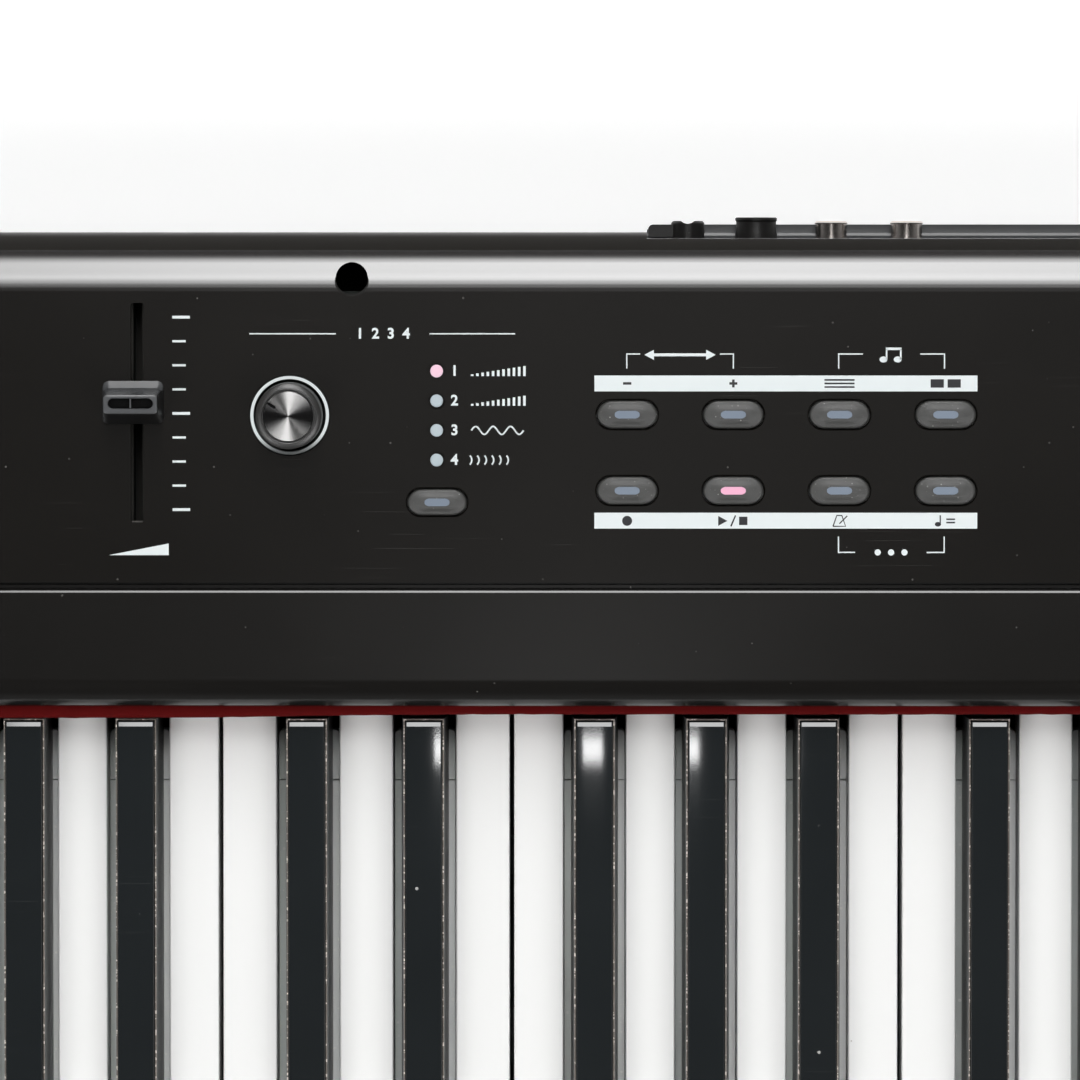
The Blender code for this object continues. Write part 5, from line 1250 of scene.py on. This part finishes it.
def makeEnds():
    e = ends
    for side, node in ((-1, "left_cheek"), (1, "right_cheek")):
        bm = bmesh.new()
        addBar(bm, [(e["rear"], e["seat"]), (e["rear"], e["top"]), (e["shoulderDepth"], e["top"]),
                    (e["front"], e["frontTop"]), (e["front"], e["seat"])], side * e["inner"], side * e["outer"])
        roundEdges(bm, longEdges(bm, e["front"], e["frontTop"]), e["frontRound"], 10)
        roundEdges(bm, longEdges(bm, e["shoulderDepth"], e["top"]), 14, 8)
        outer = [g for g in bm.edges if all(abs(abs(v.co.x) - e["outer"] * mm) < 1e-6 and v.co.z > (e["seat"] + 0.1) * mm
                                            for v in g.verts) and min(v.co.y for v in g.verts) < place(0, e["rear"] + 0.1, 0).y]
        roundEdges(bm, outer, e["edge"], 4)
        inner = [g for g in bm.edges if all(abs(abs(v.co.x) - e["inner"] * mm) < 1e-6 and v.co.z > (e["seat"] + 0.1) * mm
                                            for v in g.verts) and min(v.co.y for v in g.verts) < place(0, e["rear"] + 0.1, 0).y]
        roundEdges(bm, inner, 0.5, 2)
        finishPiece(newObject(node + "_rounded", bm, [finish["case"]]), "case", "case", node, angle=30)
    r = frontRail
    bm = bmesh.new()
    addBar(bm, [(r["rear"], r["seat"]), (r["rear"], r["top"]), (r["front"], r["top"]), (r["front"], r["seat"])],
           -r["halfLength"], r["halfLength"])
    roundEdges(bm, longEdges(bm, r["front"], r["top"]), r["round"], 8)
    roundEdges(bm, longEdges(bm, r["rear"], r["top"]), 0.5, 2)
    finishPiece(newObject("front_rail_rounded", bm, [finish["case"]]), "case", "case", "front_rail", angle=30)
    finishPiece(solidCopy("bottom_case", "bottom_case_joined", [finish["case"]]), "case", "case", "bottom_case")


foot = {"x": 560.0, "depths": (40.0, 240.0), "radius": 13.0, "high": 7.7, "peg": 3.8, "pegHigh": 10.7}


def makeFeet():
    f = foot
    for end, depth in zip(("rear", "front"), f["depths"]):
        for side, x in (("left", -f["x"]), ("right", f["x"])):
            bm = bmesh.new()
            r = f["radius"]
            addTurned(bm, [(0, 0.5), (r - 5, 0.5), (r - 5.5, 0), (r - 1.6, 0), (r - 0.5, 0.5), (r, 1.6), (r, f["high"] - 0.4),
                           (r - 0.4, f["high"]), (f["peg"], f["high"]), (f["peg"], f["pegHigh"]), (0, f["pegHigh"])],
                      48, x, depth, 0)
            finishPiece(newObject(f"foot_{end}_{side}_turned", bm, [finish["rubber"]]), "case", "rubber",
                        f"foot_{end}_{side}", angle=30)


makeEnds()
makeFeet()
for node, look in (("key_chassis", "chassis"), ("pivot_rod", "steel"), ("key_contact_strip", "rubber"),
                   ("panel_board", "board"), ("fader_track", "track"), ("knob_pot", "steel"),
                   ("speaker_left", "cone"), ("speaker_right", "cone")):
    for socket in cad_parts[node].material_slots:
        socket.material = finish[look]
print("ends, tray and feet done")


# Floor, light and camera

studio = {"floor": 6.0, "floorColour": (0.96, 0.96, 0.96), "floorSeen": 0.38, "overhead": 0.02, "horizon": 0.22,
          "seen": 1.0,
          "rear": {"radiance": 9.6, "forward": (0.36, 0.56, 0.86, 0.97), "across": (-0.14, -0.05, 0.08, 0.17)},
          "near": {"radiance": 9.5, "forward": (0.06, 0.38, 0.42, 0.56), "across": (-0.16, -0.05, 0.09, 0.20)},
          "faint": {"radiance": 1.6, "forward": (-0.02, 0.05, 0.06, 0.16), "across": (-0.06, 0.0, 0.01, 0.08)},
          "front": {"radiance": 6.5, "forward": (0.14, 0.26, 0.52, 0.64), "across": (0.22, 0.32, 0.50, 0.60)},
          "small": {"place": (-0.3155, -0.0977, 2.112), "size": (0.070, 0.029), "radiance": 7.6}}
view = {"from": (-0.3101, 0.1411, 2.112), "at": (-0.32206, 0.06333, 0.112), "lens": 278.6}


def makeFloor():        # pale, and white where it is seen, with the shadow kept
    s = studio
    bm = bmesh.new()
    bmesh.ops.create_grid(bm, x_segments=8, y_segments=8, size=s["floor"] / 2)
    made, tree, shader = newMaterial("paleFloor")
    shader.inputs["Base Color"].default_value = (*s["floorColour"], 1.0)
    shader.inputs["Roughness"].default_value = 0.8
    shader.inputs["Emission Color"].default_value = (1.0, 1.0, 1.0, 1.0)
    rays = tree.nodes.new("ShaderNodeLightPath")
    straight = addMath(tree, "ADD", rays.outputs["Is Camera Ray"], rays.outputs["Is Transmission Ray"])
    seen = addMath(tree, "ADD", straight, addMath(tree, "MULTIPLY", rays.outputs["Is Glossy Ray"], 0.4))
    tree.links.new(addMath(tree, "MULTIPLY", seen, s["floorSeen"]), shader.inputs["Emission Strength"])
    newObject("studioFloor", bm, [made])


def makeSmallLight():        # the little window of light seen in the tops of the black keys
    s = studio["small"]
    lamp = bpy.data.lights.new("smallLight", "AREA")
    lamp.shape, (lamp.size, lamp.size_y) = "RECTANGLE", s["size"]
    lamp.energy = s["radiance"] * math.pi * lamp.size * lamp.size_y
    holder = bpy.data.objects.new("smallLight", lamp)
    holder.location = s["place"]
    holder.visible_camera = False
    bpy.context.scene.collection.objects.link(holder)


def softWindow(tree, value, edges):
    rise, full, hold, end = edges
    return addMath(tree, "MULTIPLY", fade(tree, value, rise, full),
                   addMath(tree, "SUBTRACT", 1.0, fade(tree, value, hold, end)))


def makeWorld():        # soft boxes of light behind the piano and at both front corners, dark overhead
    s = studio
    world = bpy.data.worlds.new("studioWorld")
    world.use_nodes = True
    tree = world.node_tree
    tree.nodes.clear()
    where = tree.nodes.new("ShaderNodeTexCoord").outputs["Generated"]
    split = tree.nodes.new("ShaderNodeSeparateXYZ")
    tree.links.new(where, split.inputs[0])
    aside = addMath(tree, "ABSOLUTE", split.outputs["X"])
    back = split.outputs["Y"]
    ahead = addMath(tree, "MULTIPLY", back, -1.0)
    height = fade(tree, addMath(tree, "ABSOLUTE", split.outputs["Z"]), 0.25, 0.92)
    light = mixColour(tree, height, (s["horizon"],) * 3, (s["overhead"],) * 3)
    for box, along, across in (("rear", back, split.outputs["X"]), ("near", back, split.outputs["X"]),
                               ("faint", back, split.outputs["X"]), ("front", ahead, aside)):
        shape = addMath(tree, "MULTIPLY", softWindow(tree, along, s[box]["forward"]),
                        softWindow(tree, across, s[box]["across"]))
        glow = addMath(tree, "MULTIPLY", shape, s[box]["radiance"])
        join = tree.nodes.new("ShaderNodeVectorMath")
        join.operation = "ADD"
        tree.links.new(light, join.inputs[0])
        tree.links.new(glow, join.inputs[1])
        light = join.outputs[0]
    rays = tree.nodes.new("ShaderNodeLightPath")
    seen = addMath(tree, "ADD", rays.outputs["Is Camera Ray"], rays.outputs["Is Transmission Ray"], True)
    sky = tree.nodes.new("ShaderNodeBackground")
    tree.links.new(mixColour(tree, seen, light, (s["seen"],) * 3), sky.inputs["Color"])
    out = tree.nodes.new("ShaderNodeOutputWorld")
    tree.links.new(sky.outputs[0], out.inputs["Surface"])
    bpy.context.scene.world = world


def makeCamera():
    v = view
    lens = bpy.data.cameras.new("photoCamera")
    lens.type, lens.lens, lens.sensor_width = "PERSP", v["lens"], 36.0
    lens.clip_start, lens.clip_end = 0.05, 50.0
    camera = bpy.data.objects.new("photoCamera", lens)
    spot, aim = Vector(v["from"]), Vector(v["at"])
    forward = (aim - spot).normalized()
    right = forward.cross(Vector((0, 1, 0))).normalized()        # the keyboard's back edge stays level
    up = right.cross(forward)
    camera.matrix_world = Matrix.Translation(spot) @ Matrix((right, up, -forward)).transposed().to_4x4()
    bpy.context.scene.collection.objects.link(camera)
    bpy.context.scene.camera = camera


makeFloor()
makeSmallLight()
makeWorld()
makeCamera()
bpy.context.scene.view_settings.view_transform = "Standard"
print("stage done")
